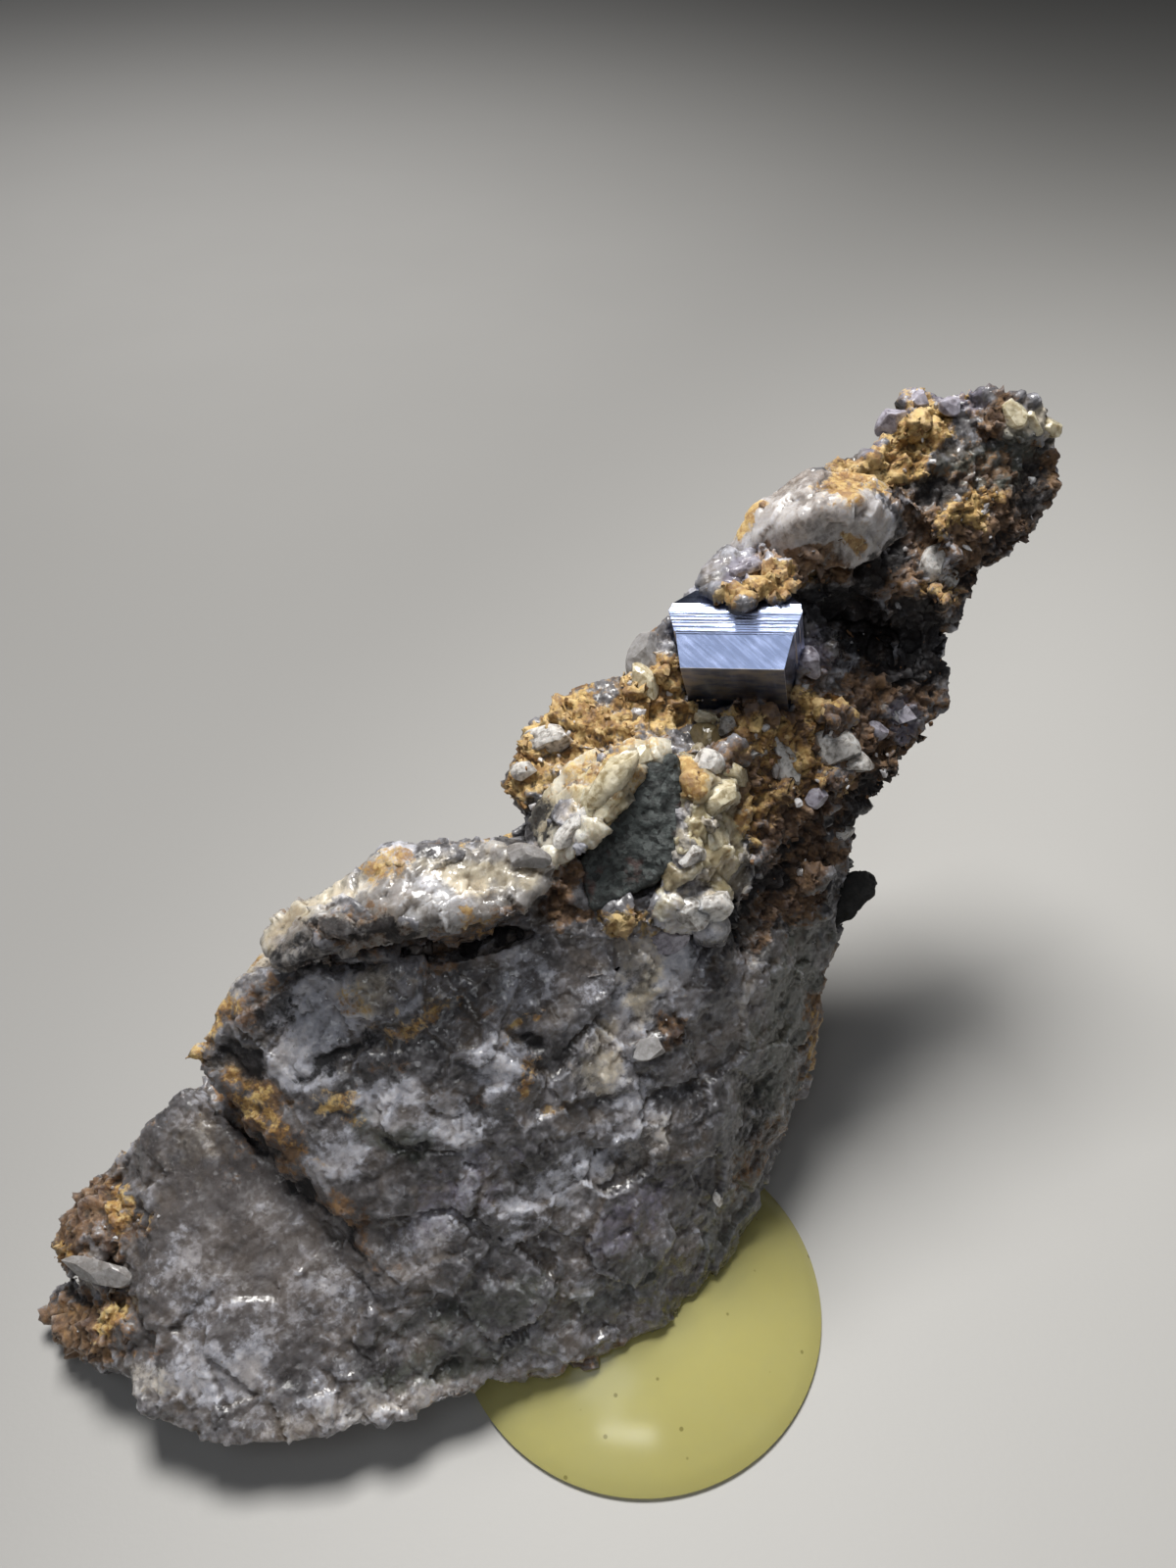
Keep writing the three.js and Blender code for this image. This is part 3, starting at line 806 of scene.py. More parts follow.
@dataclass(frozen=True)
class QuartzFinish:
    """Broken vein quartz with its stains and crusts, with painted shade in its grooves and recesses and
    painted highlights on its ridges.
    """

    name: str
    soft: float = 0.0
    scatter: float = 1.2
    grey_deep: Colour = (0.05, 0.047, 0.049)
    grey: Colour = (0.145, 0.14, 0.148)
    grey_pale: Colour = (0.46, 0.465, 0.52)
    glassy: Colour = (0.13, 0.115, 0.112)
    brownish: Colour = (0.19, 0.14, 0.09)
    milky: Colour = (0.66, 0.65, 0.69)
    cream: Colour = (1.0, 0.88, 0.62)
    violet: Colour = (0.16, 0.145, 0.2)
    ochre: Colour = (0.34, 0.18, 0.045)
    ochre_pale: Colour = (0.66, 0.47, 0.19)
    rust: Colour = (0.075, 0.036, 0.017)
    rust_pale: Colour = (0.25, 0.14, 0.062)
    # Near black for the SHADE zone: painted shadow, partly dark matter.
    shade: Colour = (0.008, 0.007, 0.009)
    chlorite: Colour = (0.075, 0.085, 0.06)
    # Dark brown for painted shade in the grooves, and for dirt in the crusted ones.
    dirt_and_hollow_shade: Colour = (0.035, 0.025, 0.018)
    streak_turn: float = 36.0
    darkness: float = 0.7

    def streaks(self, g: Graph) -> Signal:
        """Fine streaks that run up the face to the right.

        Args:
            g: The material's graph.

        Returns:
            The streaks, about 0.5 on average.
        """
        turn = (-math.radians(FACE.slope), 0.0, -math.radians(self.streak_turn))
        turned = g.node("ShaderNodeMapping", None, {"Vector": g.place, "Rotation": turn}).outputs[0]
        return g.noise(1.0, 5.0, 0.62, g.vector("MULTIPLY", turned, (0.3, 1.5, 0.8)))

    def material(self) -> bpy.types.Material:
        """Makes the material.

        Returns:
            The material.
        """
        g = Graph(self.name)
        milky, cream, violet, smooth = g.channels("glass")
        # The crust attribute's third channel is the SHADE zone: painted shadow, partly dark matter.
        ochre, rust, shade, chlorite = g.channels("crust")
        relief = Signal(g, g.attribute("relief").outputs["Fac"])
        tone = Signal(g, g.attribute("tone").outputs["Fac"])
        fine = g.noise(1.6, 6.0, 0.65)
        lumps = g.noise(0.28, 3.0, 0.55)
        speck = g.noise(4.0, 3.0, 0.6)
        streaks = self.streaks(g)
        tilt, grain = g.grains(1.1)
        tilt_fine, grain_fine = g.grains(2.8)

        def edge(weight: Signal, soft: float = 0.22) -> Signal:
            """A zone's weight, broken up at its edge."""
            broken = weight + (fine - 0.5) * 1.5 + (speck - 0.5) * 0.7 + (grain - 0.5) * 0.3
            return broken.rise(0.52 - soft, 0.52 + soft)

        def wash(weight: Signal) -> Signal:
            """A zone's weight with a soft, cloudy edge."""
            return (weight + (fine - 0.5) * 0.9 + (speck - 0.5) * 0.4).rise(0.1, 1.0)

        clouded = wash(milky)
        creamy = wash(cream)
        pale = lumps * 0.9 + streaks * 0.5 + fine * 0.4 + tone * 0.4 + (grain + grain_fine) * 0.16
        level = pale - self.darkness + clouded * 0.46 + creamy * 0.34 - smooth * 0.12
        colour = g.mix(level.rise(0.25, 0.6), self.grey_deep, self.grey)
        colour = g.mix(level.rise(0.52, 0.92), colour, self.grey_pale)
        colour = g.mix(level.rise(0.84, 1.2), colour, self.milky)
        warm = (lumps * 1.2 + relief * 0.25).rise(0.5, 0.8)
        colour = g.mix(warm * 0.4, colour, self.brownish)
        colour = g.mix(smooth * (0.6 - level.rise(0.5, 0.9) * 0.5).limit(), colour, self.glassy)
        colour = g.mix(edge(violet, 0.35) * 0.7, colour, self.violet)
        colour = g.mix(creamy * 0.9, colour, self.cream, "MULTIPLY")
        colour = g.mix(edge(chlorite, 0.4) * 0.6, colour, self.chlorite)
        rusty = edge(rust - (milky + cream + violet) * 0.55)
        blocks = speck * 0.5 + grain_fine * 0.3 + tone * 0.7 + fine * 0.4
        brown = g.mix(blocks.rise(0.6, 1.25), self.rust, self.rust_pale)
        brown = g.mix(blocks.rise(1.15, 1.4) * 0.6, brown, self.ochre)
        colour = g.mix(rusty * 0.9, colour, brown)
        yellow = edge(ochre)
        earth = g.mix(blocks.rise(0.75, 1.3), self.ochre, self.ochre_pale)
        earth = g.mix((1.0 - blocks.rise(0.6, 0.95)) * 0.85, earth, self.rust_pale)
        colour = g.mix(yellow * 0.92, colour, earth)
        crusted = (rusty + yellow).limit()
        # Painted shade and dirt: grooves darken toward the dark brown, a little on bare quartz and more where
        # crust lies.
        hollow = (relief * 0.9 + (speck - 0.5) * 0.5).rise(0.05, 0.8)
        colour = g.mix(hollow * (0.28 + crusted * 0.45), colour, self.dirt_and_hollow_shade)
        # Painted shadow: the SHADE zone goes nearly black in recesses, crevices and vugs, partly their dark
        # matter.
        dark = edge(shade, 0.3)
        colour = g.mix(dark * 0.95, colour, self.shade)
        covered = (crusted + dark).limit()
        # Painted highlight: ridges are lightened toward the pale grey, less where they are covered.
        ridge = (0.0 - relief).rise(0.25, 0.95) * (1.0 - covered * 0.6)
        colour = g.mix(ridge * 0.2, colour, self.grey_pale)
        glint = grain.rise(0.55, 0.7) * 0.14 + grain_fine.rise(0.55, 0.7) * 0.14
        rough = 0.36 - glint + covered * 0.42
        height = (tilt * 0.4 + tilt_fine * 0.75) * (1.0 - smooth * 0.5) + (streaks - 0.5) * 0.12
        height = height + covered * (tilt_fine * 0.4 + (fine - 0.5) * 0.5)
        values = {
            "Base Color": colour,
            "Roughness": rough.limit(),
            "Normal": g.bump(height, 0.5),
            "IOR": QUARTZ_IOR,
        }
        if self.soft:
            values["Subsurface Weight"] = self.soft
            values["Subsurface Radius"] = (1.3, 1.15, 1.0)
            values["Subsurface Scale"] = self.scatter * MM
        return g.surface(values)


@dataclass(frozen=True)
class CrumbFinish:
    """Small grains, each with its own shade, that may let some light through."""

    name: str
    dark: Colour
    pale: Colour
    rough: float
    speckle: float = 0.4
    soft: float = 0.0

    def material(self) -> bpy.types.Material:
        """Makes the material.

        Returns:
            The material.
        """
        g = Graph(self.name)
        shade = Signal(g, g.attribute("shade").outputs["Fac"])
        fine = g.noise(2.2, 4.0, 0.6)
        tilt, grain = g.grains(2.4)
        mixed = shade + (fine - 0.5) * self.speckle + (grain - 0.5) * 0.3
        colour = g.mix(mixed.rise(0.05, 0.95), self.dark, self.pale)
        values = {
            "Base Color": colour,
            "Roughness": (self.rough + (fine - 0.5) * 0.3).limit(),
            "Normal": g.bump(tilt * 0.35 + fine * 0.1, 0.5),
            "IOR": QUARTZ_IOR,
        }
        if self.soft:
            values["Subsurface Weight"] = self.soft
            values["Subsurface Radius"] = (1.0, 0.9, 0.8)
            values["Subsurface Scale"] = 0.8 * MM
        return g.surface(values)


@dataclass(frozen=True)
class AnataseFinish:
    """Metallic blue-black faces with fine striations along the crystal's edges."""

    deep: Colour = (0.19, 0.225, 0.345)
    pale: Colour = (0.46, 0.53, 0.78)
    base: Colour = (0.45, 0.42, 0.4)
    band: float = 1.55
    base_rise: tuple[float, float] = (3.93, 3.98)

    def material(self, place: Matrix) -> bpy.types.Material:
        """Makes the material.

        Args:
            place: The crystal's turn and place, in millimetres.

        Returns:
            The material.
        """
        g = Graph("anatase")
        inverse = place.inverted()
        turned = {"Vector": g.place, "Location": inverse.translation, "Rotation": inverse.to_euler("XYZ")}
        own = g.node("ShaderNodeMapping", None, turned).outputs[0]
        along = Signal(g, g.node("ShaderNodeSeparateXYZ", None, {"Vector": own}).outputs[2])
        upper = 1.0 - along.rise(self.band - 0.06, self.band + 0.06)
        lines = g.noise(1.0, 3.0, 0.6, g.vector("MULTIPLY", own, (0.12, 0.12, 6.0)))
        slanted = g.node("ShaderNodeMapping", None, {"Vector": own, "Rotation": (0.0, 0.7, 0.7)}).outputs[0]
        scratches = g.noise(1.0, 4.0, 0.6, g.vector("MULTIPLY", slanted, (0.35, 0.35, 3.2)))
        smear = g.noise(0.9, 4.0, 0.6, g.vector("MULTIPLY", own, (0.6, 1.6, 0.6)))
        striped = lines * upper + scratches * (1.0 - upper)
        level = striped * 0.6 + smear * 0.45 + upper * 0.2 - 0.06
        colour = g.mix(level.rise(0.35, 0.8), self.deep, self.pale)
        height = lines * upper * 0.06 + scratches * (1.0 - upper) * 0.02 + smear * 0.02
        base = along.rise(*self.base_rise)
        colour = g.mix(base * smear.rise(0.3, 0.7), colour, self.base)
        rough = (0.14 + smear * 0.2 + base * 0.15).limit()
        values = {"Base Color": colour, "Metallic": 1.0, "Roughness": rough, "Normal": g.bump(height, 0.4)}
        return g.surface(values)


@dataclass(frozen=True)
class SchistFinish:
    """Dark green-grey fine-grained rock with a few reddish spots."""

    deep: Colour = (0.014, 0.016, 0.016)
    pale: Colour = (0.085, 0.099, 0.097)
    red: Colour = (0.1, 0.045, 0.038)

    def material(self) -> bpy.types.Material:
        """Makes the material.

        Returns:
            The material.
        """
        g = Graph("schist")
        fine = g.noise(2.4, 5.0, 0.7)
        spots = g.noise(0.5, 3.0, 0.6)
        tilt, grain = g.grains(3.0)
        colour = g.mix((fine * 0.8 + grain * 0.35 - 0.1).rise(0.2, 0.8), self.deep, self.pale)
        colour = g.mix(spots.rise(0.56, 0.68) * 0.65, colour, self.red)
        height = tilt * 0.5 + fine * 0.2
        return g.surface({"Base Color": colour, "Roughness": 0.62, "Normal": g.bump(height, 0.8)})


@dataclass(frozen=True)
class StubFinish:
    """Dull black, a little brown where it is worn."""

    deep: Colour = (0.003, 0.003, 0.003)
    worn: Colour = (0.018, 0.014, 0.011)

    def material(self) -> bpy.types.Material:
        """Makes the material.

        Returns:
            The material.
        """
        g = Graph("black_stub")
        fine = g.noise(2.0, 5.0, 0.65)
        colour = g.mix(fine.rise(0.5, 0.8), self.deep, self.worn)
        return g.surface({"Base Color": colour, "Roughness": 0.7, "Normal": g.bump(fine * 0.4, 0.7)})


@dataclass(frozen=True)
class ResinFinish:
    """Cloudy yellow resin with specks in it."""

    tint: Colour = (0.84, 0.79, 0.35)
    tint_deep: Colour = (0.86, 0.78, 0.28)
    speck: Colour = (0.3, 0.26, 0.08)
    depth_colour: Colour = (0.9, 0.86, 0.35)
    density: float = 45.0
    clear: float = 0.56
    ior: float = 1.5

    def material(self) -> bpy.types.Material:
        """Makes the material.

        Returns:
            The material.
        """
        g = Graph("yellow_resin")
        cloudy = g.noise(0.18, 4.0, 0.6)
        spots = g.node("ShaderNodeTexVoronoi", None, {"Vector": g.place, "Scale": 0.45})
        dust = 1.0 - Signal(g, spots.outputs["Distance"]).rise(0.05, 0.09)
        colour = g.mix(cloudy.rise(0.3, 0.7) * 0.35, self.tint, self.tint_deep)
        colour = g.mix(dust * 0.7, colour, self.speck)
        rough = (0.14 + g.noise(0.5, 3.0) * 0.08).limit()
        absorbed = {"Color": self.depth_colour, "Density": self.density}
        inside = g.node("ShaderNodeVolumeAbsorption", None, absorbed).outputs[0]
        values = {
            "Base Color": colour,
            "Roughness": rough,
            "Transmission Weight": self.clear,
            "IOR": self.ior,
        }
        return g.surface(values, inside)


class StoneSkin:
    """Works on a stone's finely divided mesh: marks its coverings and breaks its faces."""

    def __init__(self, piece: bpy.types.Object) -> None:
        """Reads the mesh and works out what covers it.

        Args:
            piece: The stone.
        """
        self.piece = piece
        self.points, self.normals = mesh_points(piece)
        self.facing = smooth_step((self.normals @ FACE.out() + 0.35) / 0.5)
        self.tone = np.full(len(self.points), 0.5)
        self.thick = {zone: np.zeros(len(self.points)) for zone in Zone}
        self.cover = self.covering()

    def covering(self, warp: float = 1.1) -> dict[str, np.ndarray]:
        """Works out what covers the stone.

        Args:
            warp: How far the patches' outlines wander.

        Returns:
            Four weights for each vertex under each attribute's name.
        """
        points = self.points
        shift = np.stack([cloud(points, 0.4, 3, 3.0), cloud(points, 0.4, 3, 17.0)], axis=1)
        seen = FACE.seen(points) + warp * shift
        ragged = cloud(points, 0.45) + 0.6 * cloud(points, 1.3, 2, 9.0)
        cover = {"glass": np.zeros((len(points), 4)), "crust": np.zeros((len(points), 4))}
        for patch in THICK_PATCHES + THIN_PATCHES:
            name, channel = patch.zone.value
            weight = patch.weigh(seen, ragged) * self.facing
            if patch in THIN_PATCHES and patch.zone in (Zone.OCHRE, Zone.RUST):
                weight = weight * THIN_SHARE
            cover[name][:, channel] = np.maximum(cover[name][:, channel], weight)
            if patch in THICK_PATCHES:
                self.thick[patch.zone] = np.maximum(self.thick[patch.zone], weight)
        self.cover_back(cover)
        return cover

    def cover_back(self, cover: dict[str, np.ndarray]) -> None:
        """Stains the sides that the face hides, in bands like those of the front.

        Args:
            cover: The weights to add to.
        """
        hidden = 1.0 - self.facing
        bands = cloud(self.points, 0.12, 3, 40.0)
        spots = cloud(self.points, 0.3, 3, 70.0)
        cover["crust"][:, 1] += hidden * smooth_step((bands - 0.12) / 0.3)
        cover["crust"][:, 0] += hidden * smooth_step((spots - 0.3) / 0.25) * 0.8
        cover["crust"][:, 3] += hidden * smooth_step((-bands - 0.2) / 0.3) * 0.7
        cover["glass"][:, 0] += hidden * smooth_step((-spots - 0.25) / 0.25) * 0.8

    def breaks(self, sizes: Sequence[tuple[float, float]]) -> np.ndarray:
        """Broken faces of several sizes, whose numbers are kept in the tone.

        Args:
            sizes: The faces' sizes and how high they stand, in millimetres.

        Returns:
            The height at each vertex.
        """
        total = np.zeros(len(self.points))
        for index, (size, rise) in enumerate(sizes):
            height, number = facets(self.points, size, 100 + index)
            total += rise * height
            self.tone += 0.3 * (number - 0.5)
        return total

    def move(self, height: np.ndarray) -> None:
        """Moves the vertices out along their normals.

        Args:
            height: How far each one goes, in millimetres.
        """
        move_points(self.piece, self.points + self.normals * height[:, None])
        self.points, self.normals = mesh_points(self.piece)

    def relief(self, depth: float = 0.22) -> np.ndarray:
        """Measures how hollow the surface is.

        Args:
            depth: The depth in millimetres that counts as a full groove.

        Returns:
            A number for each vertex, from -1 on a ridge to 1 in a groove.
        """
        edges = np.empty(len(self.piece.data.edges) * 2, np.int32)
        self.piece.data.edges.foreach_get("vertices", edges)
        first, second = edges.reshape(-1, 2).T
        count = np.bincount(edges, minlength=len(self.points)).clip(1)[:, None]
        wide = self.points
        for _ in range(3):
            total = np.zeros_like(wide)
            np.add.at(total, first, wide[second])
            np.add.at(total, second, wide[first])
            wide = total / count
        return np.clip(((wide - self.points) * self.normals).sum(1) / depth, -1.0, 1.0)

    def mark(self) -> None:
        """Stores the coverings, the relief and the facets' tone on the mesh."""
        set_attribute(self.piece, "glass", self.cover["glass"])
        set_attribute(self.piece, "crust", self.cover["crust"])
        set_attribute(self.piece, "relief", self.relief())
        set_attribute(self.piece, "tone", np.clip(self.tone, 0.0, 1.0))
        shade_smooth(self.piece)


@dataclass
class RockPart:
    """A part of the wedge of vein quartz, from one place along the slope to another."""

    name: str
    finish: QuartzFinish
    low: float
    high: float
    voxel: float
    rounding: int
    back_share: float = 0.3
    overlap: float = 1.6
    sizes: tuple[tuple[float, float], ...] = ((5.0, 0.42), (2.2, 0.2), (0.9, 0.07))
    crust_sizes: tuple[tuple[float, float], ...] = ((1.7, 0.36), (0.8, 0.24), (0.42, 0.1))
    crust_height: float = 0.3
    shade_depth: float = 0.45
    edge_sink: float = 0.7
    cut_margin: float = 0.3
    piece: bpy.types.Object = field(init=False)
    skin: StoneSkin = field(init=False)

    def build(self) -> None:
        """Cuts and divides a copy of the solid, breaks its faces and dresses it."""
        self.piece = copy_of_node("quartz_matrix", self.name)
        self.trim()
        divide(self.piece, self.voxel, self.rounding)
        self.thin_back()
        self.skin = StoneSkin(self.piece)
        self.skin.move(self.broken())
        self.skin.mark()
        finish_piece(self.piece, self.finish.material(), "quartz", "quartz_matrix")

    def trim(self) -> None:
        """Cuts off what lies below and above the part along the slope."""
        up = FACE.turn().col[1]
        for place, out in ((self.low, -up), (self.high, up)):
            middle = FACE.world((0.0, place, 0.0)) * MM
            with editing(self.piece):
                bpy.ops.mesh.bisect(plane_co=middle, plane_no=out, use_fill=True, clear_outer=True)

    def past(self, points: np.ndarray) -> np.ndarray:
        """How far points lie past the part's ends along the slope, below 0 between them."""
        along = FACE.local(points)[:, 1]
        return np.maximum(along - self.high, self.low - along)

    def thin_back(self) -> None:
        """Leaves fewer faces on the back, and on the cuts that lie inside the rock."""
        points, normals = mesh_points(self.piece)
        cut = self.past(points) > -self.cut_margin
        self.piece.data.vertices.foreach_set("select", cut | (normals @ FACE.out() < -0.25))
        select_only(self.piece)
        bpy.ops.object.mode_set(mode="EDIT")
        bpy.ops.mesh.select_mode(type="VERT")
        bpy.ops.mesh.decimate(ratio=self.back_share)
        bpy.ops.object.mode_set(mode="OBJECT")

    def broken(self) -> np.ndarray:
        """Works out the broken facets and the crumbly crusts.

        Returns:
            The height at each vertex, in millimetres.
        """
        skin = self.skin
        crust = np.clip(skin.thick[Zone.OCHRE] + skin.thick[Zone.RUST], 0.0, 1.0)
        calm = 1.0 - 0.7 * skin.cover["glass"][:, 3] - 0.3 * crust
        height = calm * skin.breaks(self.sizes) + crust * skin.breaks(self.crust_sizes)
        height += self.crust_height * crust * (cloud(skin.points, 0.9, 4, 5.0) + 0.15)
        height -= self.shade_depth * skin.cover["crust"][:, 2]
        ends = self.past(skin.points)
        height -= self.edge_sink * smooth_step((ends + self.overlap) / self.overlap)
        return height * smooth_step((skin.points[:, 2] - 0.1) / 1.2)


@dataclass
class QuartzLump:
    """A cloudy lump of quartz on the rock: the rounded hull of a few corners in the face frame."""

    name: str
    corners: tuple[tuple[float, float, float], ...]
    sizes: tuple[tuple[float, float], ...]
    finish: QuartzFinish
    swell: float = 0.45
    rounding: int = 6
    voxel: float = 0.24
    piece: bpy.types.Object = field(init=False)

    def build(self) -> None:
        """Wraps the corners, divides and rounds the hull, breaks its faces and dresses it."""
        corners = np.array([FACE.world(corner) for corner in self.corners])
        self.piece = mesh_piece(self.name, corners, [])
        with editing(self.piece):
            bpy.ops.mesh.convex_hull()
        divide(self.piece, self.voxel, self.rounding)
        skin = StoneSkin(self.piece)
        skin.move(self.swell + skin.breaks(self.sizes))
        skin.mark()
        finish_piece(self.piece, self.finish.material(), "quartz")


def rock_parts() -> tuple[RockPart, ...]:
    """The parts of the rock, up along its slope.

    Returns:
        The quartz below, the crusted neck and the crusted arm.
    """
    below = QuartzFinish("vein_quartz", 0.5, 1.7)
    above = QuartzFinish("crusted_quartz")
    return (
        RockPart("vein_quartz", below, -200.0, -11.5, 0.27, 9),
        RockPart("crusted_neck", above, -14.5, 4.5, 0.22, 3),
        RockPart("crusted_arm", above, 1.5, 200.0, 0.22, 3),
    )


def quartz_lumps() -> tuple[QuartzLump, ...]:
    """The cloudy lumps on the rock.

    Returns:
        The lumps of the arm, the neck and the shoulder.
    """
    milky = QuartzFinish(
        "milky_lump", 0.7, 1.6, (0.17, 0.145, 0.13), (0.35, 0.31, 0.29), (0.56, 0.53, 0.52)
    )
    cream = QuartzFinish(
        "cream_fan", 0.7, 1.6, (0.33, 0.28, 0.19), (0.57, 0.52, 0.41), (0.8, 0.77, 0.69)
    )
    honey = QuartzFinish(
        "cream_cluster", 0.7, 1.4, (0.08, 0.06, 0.03), (0.28, 0.235, 0.15), (0.52, 0.49, 0.41)
    )
    ledge = QuartzFinish(
        "shoulder_ledge", 0.6, 1.6, (0.115, 0.1, 0.087), (0.26, 0.245, 0.235), (0.43, 0.425, 0.44)
    )
    return (
        QuartzLump(
            "milky_lump",
            (
                (10.6, 16.6, 4), (12, 19.6, 5), (16, 22.6, 5), (21, 21.6, 5), (22.6, 18.6, 5), (20, 16, 6),
                (15.5, 15.2, 6.5), (15, 18.5, 9), (18.5, 19.5, 9.2), (13.4, 17.4, -3), (19, 19.6, -3),
            ),
            ((3.4, 0.22), (1.2, 0.08)),
            milky,
            rounding=14,
        ),
        QuartzLump(
            "cream_fan",
            (
                (-3.6, -2.6, 5), (-1.2, 1.2, 6.5), (3.6, 2.9, 7.5), (5.6, 2.6, 7), (2.2, 0, 10),
                (-0.4, -4.6, 10.2), (-2.6, -5.6, 8), (1, -1, 3),
            ),
            ((2.6, 0.32), (1.0, 0.1)),
            cream,
        ),
        QuartzLump(
            "cream_cluster",
            (
                (6.6, 2.4, 6), (9.4, 4, 4), (11.8, 0.2, 5), (11.4, -5, 5.5), (8.6, -10.4, 6), (4.6, -10.2, 8),
                (7, -6, 9.2), (7.2, 0, 8.8),
            ),
            ((1.9, 0.36), (0.8, 0.14)),
            honey,
            swell=0.3,
        ),
        QuartzLump(
            "shoulder_ledge",
            (
                (-22.5, -11, 9), (-20, -8.5, 9), (-14, -4.7, 10), (-10.5, -4, 11), (-3.5, -4.7, 11),
                (-2.5, -6.5, 11), (-5, -8.6, 12.6), (-11.5, -9, 13.4), (-17.5, -10.5, 12.6), (-21, -12.2, 11),
            ),
            ((3.2, 0.42), (1.3, 0.16)),
            ledge,
            swell=0.3,
        ),
    )


def upright_turns(normals: np.ndarray, rng: np.random.Generator, lean: float = 0.45) -> np.ndarray:
    """Rotations that stand grains up on the rock, leaning at random.

    Args:
        normals: The rock's normals under the grains.
        rng: The source of chance.
        lean: How far they lean.

    Returns:
        An array of rotation matrices.
    """
    up = normals + rng.normal(scale=lean, size=normals.shape)
    up /= np.linalg.norm(up, axis=1)[:, None]
    side = np.cross(up, rng.normal(size=normals.shape))
    side /= np.linalg.norm(side, axis=1)[:, None]
    return np.stack([side, np.cross(up, side), up], axis=2)


class Shape(Enum):
    """The shapes of small grains."""

    BLOCK = "block"
    BALL = "ball"
    POINT = "point"

    def template(self) -> tuple[np.ndarray, np.ndarray]:
        """Makes the shape.

        Returns:
            Its corners in a unit ball, and its faces as triangles.
        """
        if self is Shape.POINT:
            return point_template()
        if self is Shape.BALL:
            return ball_template()
        corners = [(x, y, z * 0.6) for z in (-1, 1) for y in (-1, 1) for x in (-1, 1)]
        quads = [(0, 2, 3, 1), (4, 5, 7, 6), (0, 1, 5, 4), (2, 6, 7, 3), (0, 4, 6, 2), (1, 3, 7, 5)]
        faces = [half for a, b, c, d in quads for half in ((a, b, c), (a, c, d))]
        return np.array(corners, float) * 0.62, np.array(faces)


def ball_template() -> tuple[np.ndarray, np.ndarray]:
    """A ball of twelve corners.

    Returns:
        Its corners and its twenty faces.
    """
    gold = (1.0 + math.sqrt(5.0)) / 2.0
    corners = [(0, s, t * gold) for s in (-1, 1) for t in (-1, 1)]
    corners += [(s, t * gold, 0) for s in (-1, 1) for t in (-1, 1)]
    corners += [(t * gold, 0, s) for s in (-1, 1) for t in (-1, 1)]
    points = np.array(corners, float)
    faces = []
    for a in range(12):
        for b in range(a + 1, 12):
            for c in range(b + 1, 12):
                trio = points[[a, b, c]]
                sides = np.linalg.norm(trio - np.roll(trio, 1, axis=0), axis=1)
                if sides.max() < 2.1:
                    out = np.dot(np.cross(trio[1] - trio[0], trio[2] - trio[0]), trio.sum(0)) > 0
                    faces.append((a, b, c) if out else (a, c, b))
    return points / math.hypot(1.0, gold), np.array(faces)


def point_template() -> tuple[np.ndarray, np.ndarray]:
    """A six-sided quartz point.

    Returns:
        Its corners, along z, and its faces.
    """
    around = [(0.36 * math.cos(k * math.pi / 3), 0.36 * math.sin(k * math.pi / 3)) for k in range(6)]
    corners = [(x, y, -0.8) for x, y in around] + [(x, y, 0.55) for x, y in around] + [(0.05, 0.03, 1.0)]
    faces = [(0, k + 1, k) for k in range(1, 5)]
    for k in range(6):
        n = (k + 1) % 6
        faces += [(k, n, n + 6), (k, n + 6, k + 6), (k + 6, n + 6, 12)]
    return np.array(corners), np.array(faces)


def random_turns(count: int, rng: np.random.Generator) -> np.ndarray:
    """Random rotations.

    Args:
        count: How many.
        rng: The source of chance.

    Returns:
        An array of rotation matrices.
    """
    q = rng.normal(size=(count, 4))
    w, x, y, z = (q / np.linalg.norm(q, axis=1)[:, None]).T
    rows = [
        [1 - 2 * (y * y + z * z), 2 * (x * y - z * w), 2 * (x * z + y * w)],
        [2 * (x * y + z * w), 1 - 2 * (x * x + z * z), 2 * (y * z - x * w)],
        [2 * (x * z - y * w), 2 * (y * z + x * w), 1 - 2 * (x * x + y * y)],
    ]
    return np.array(rows).transpose(2, 0, 1)


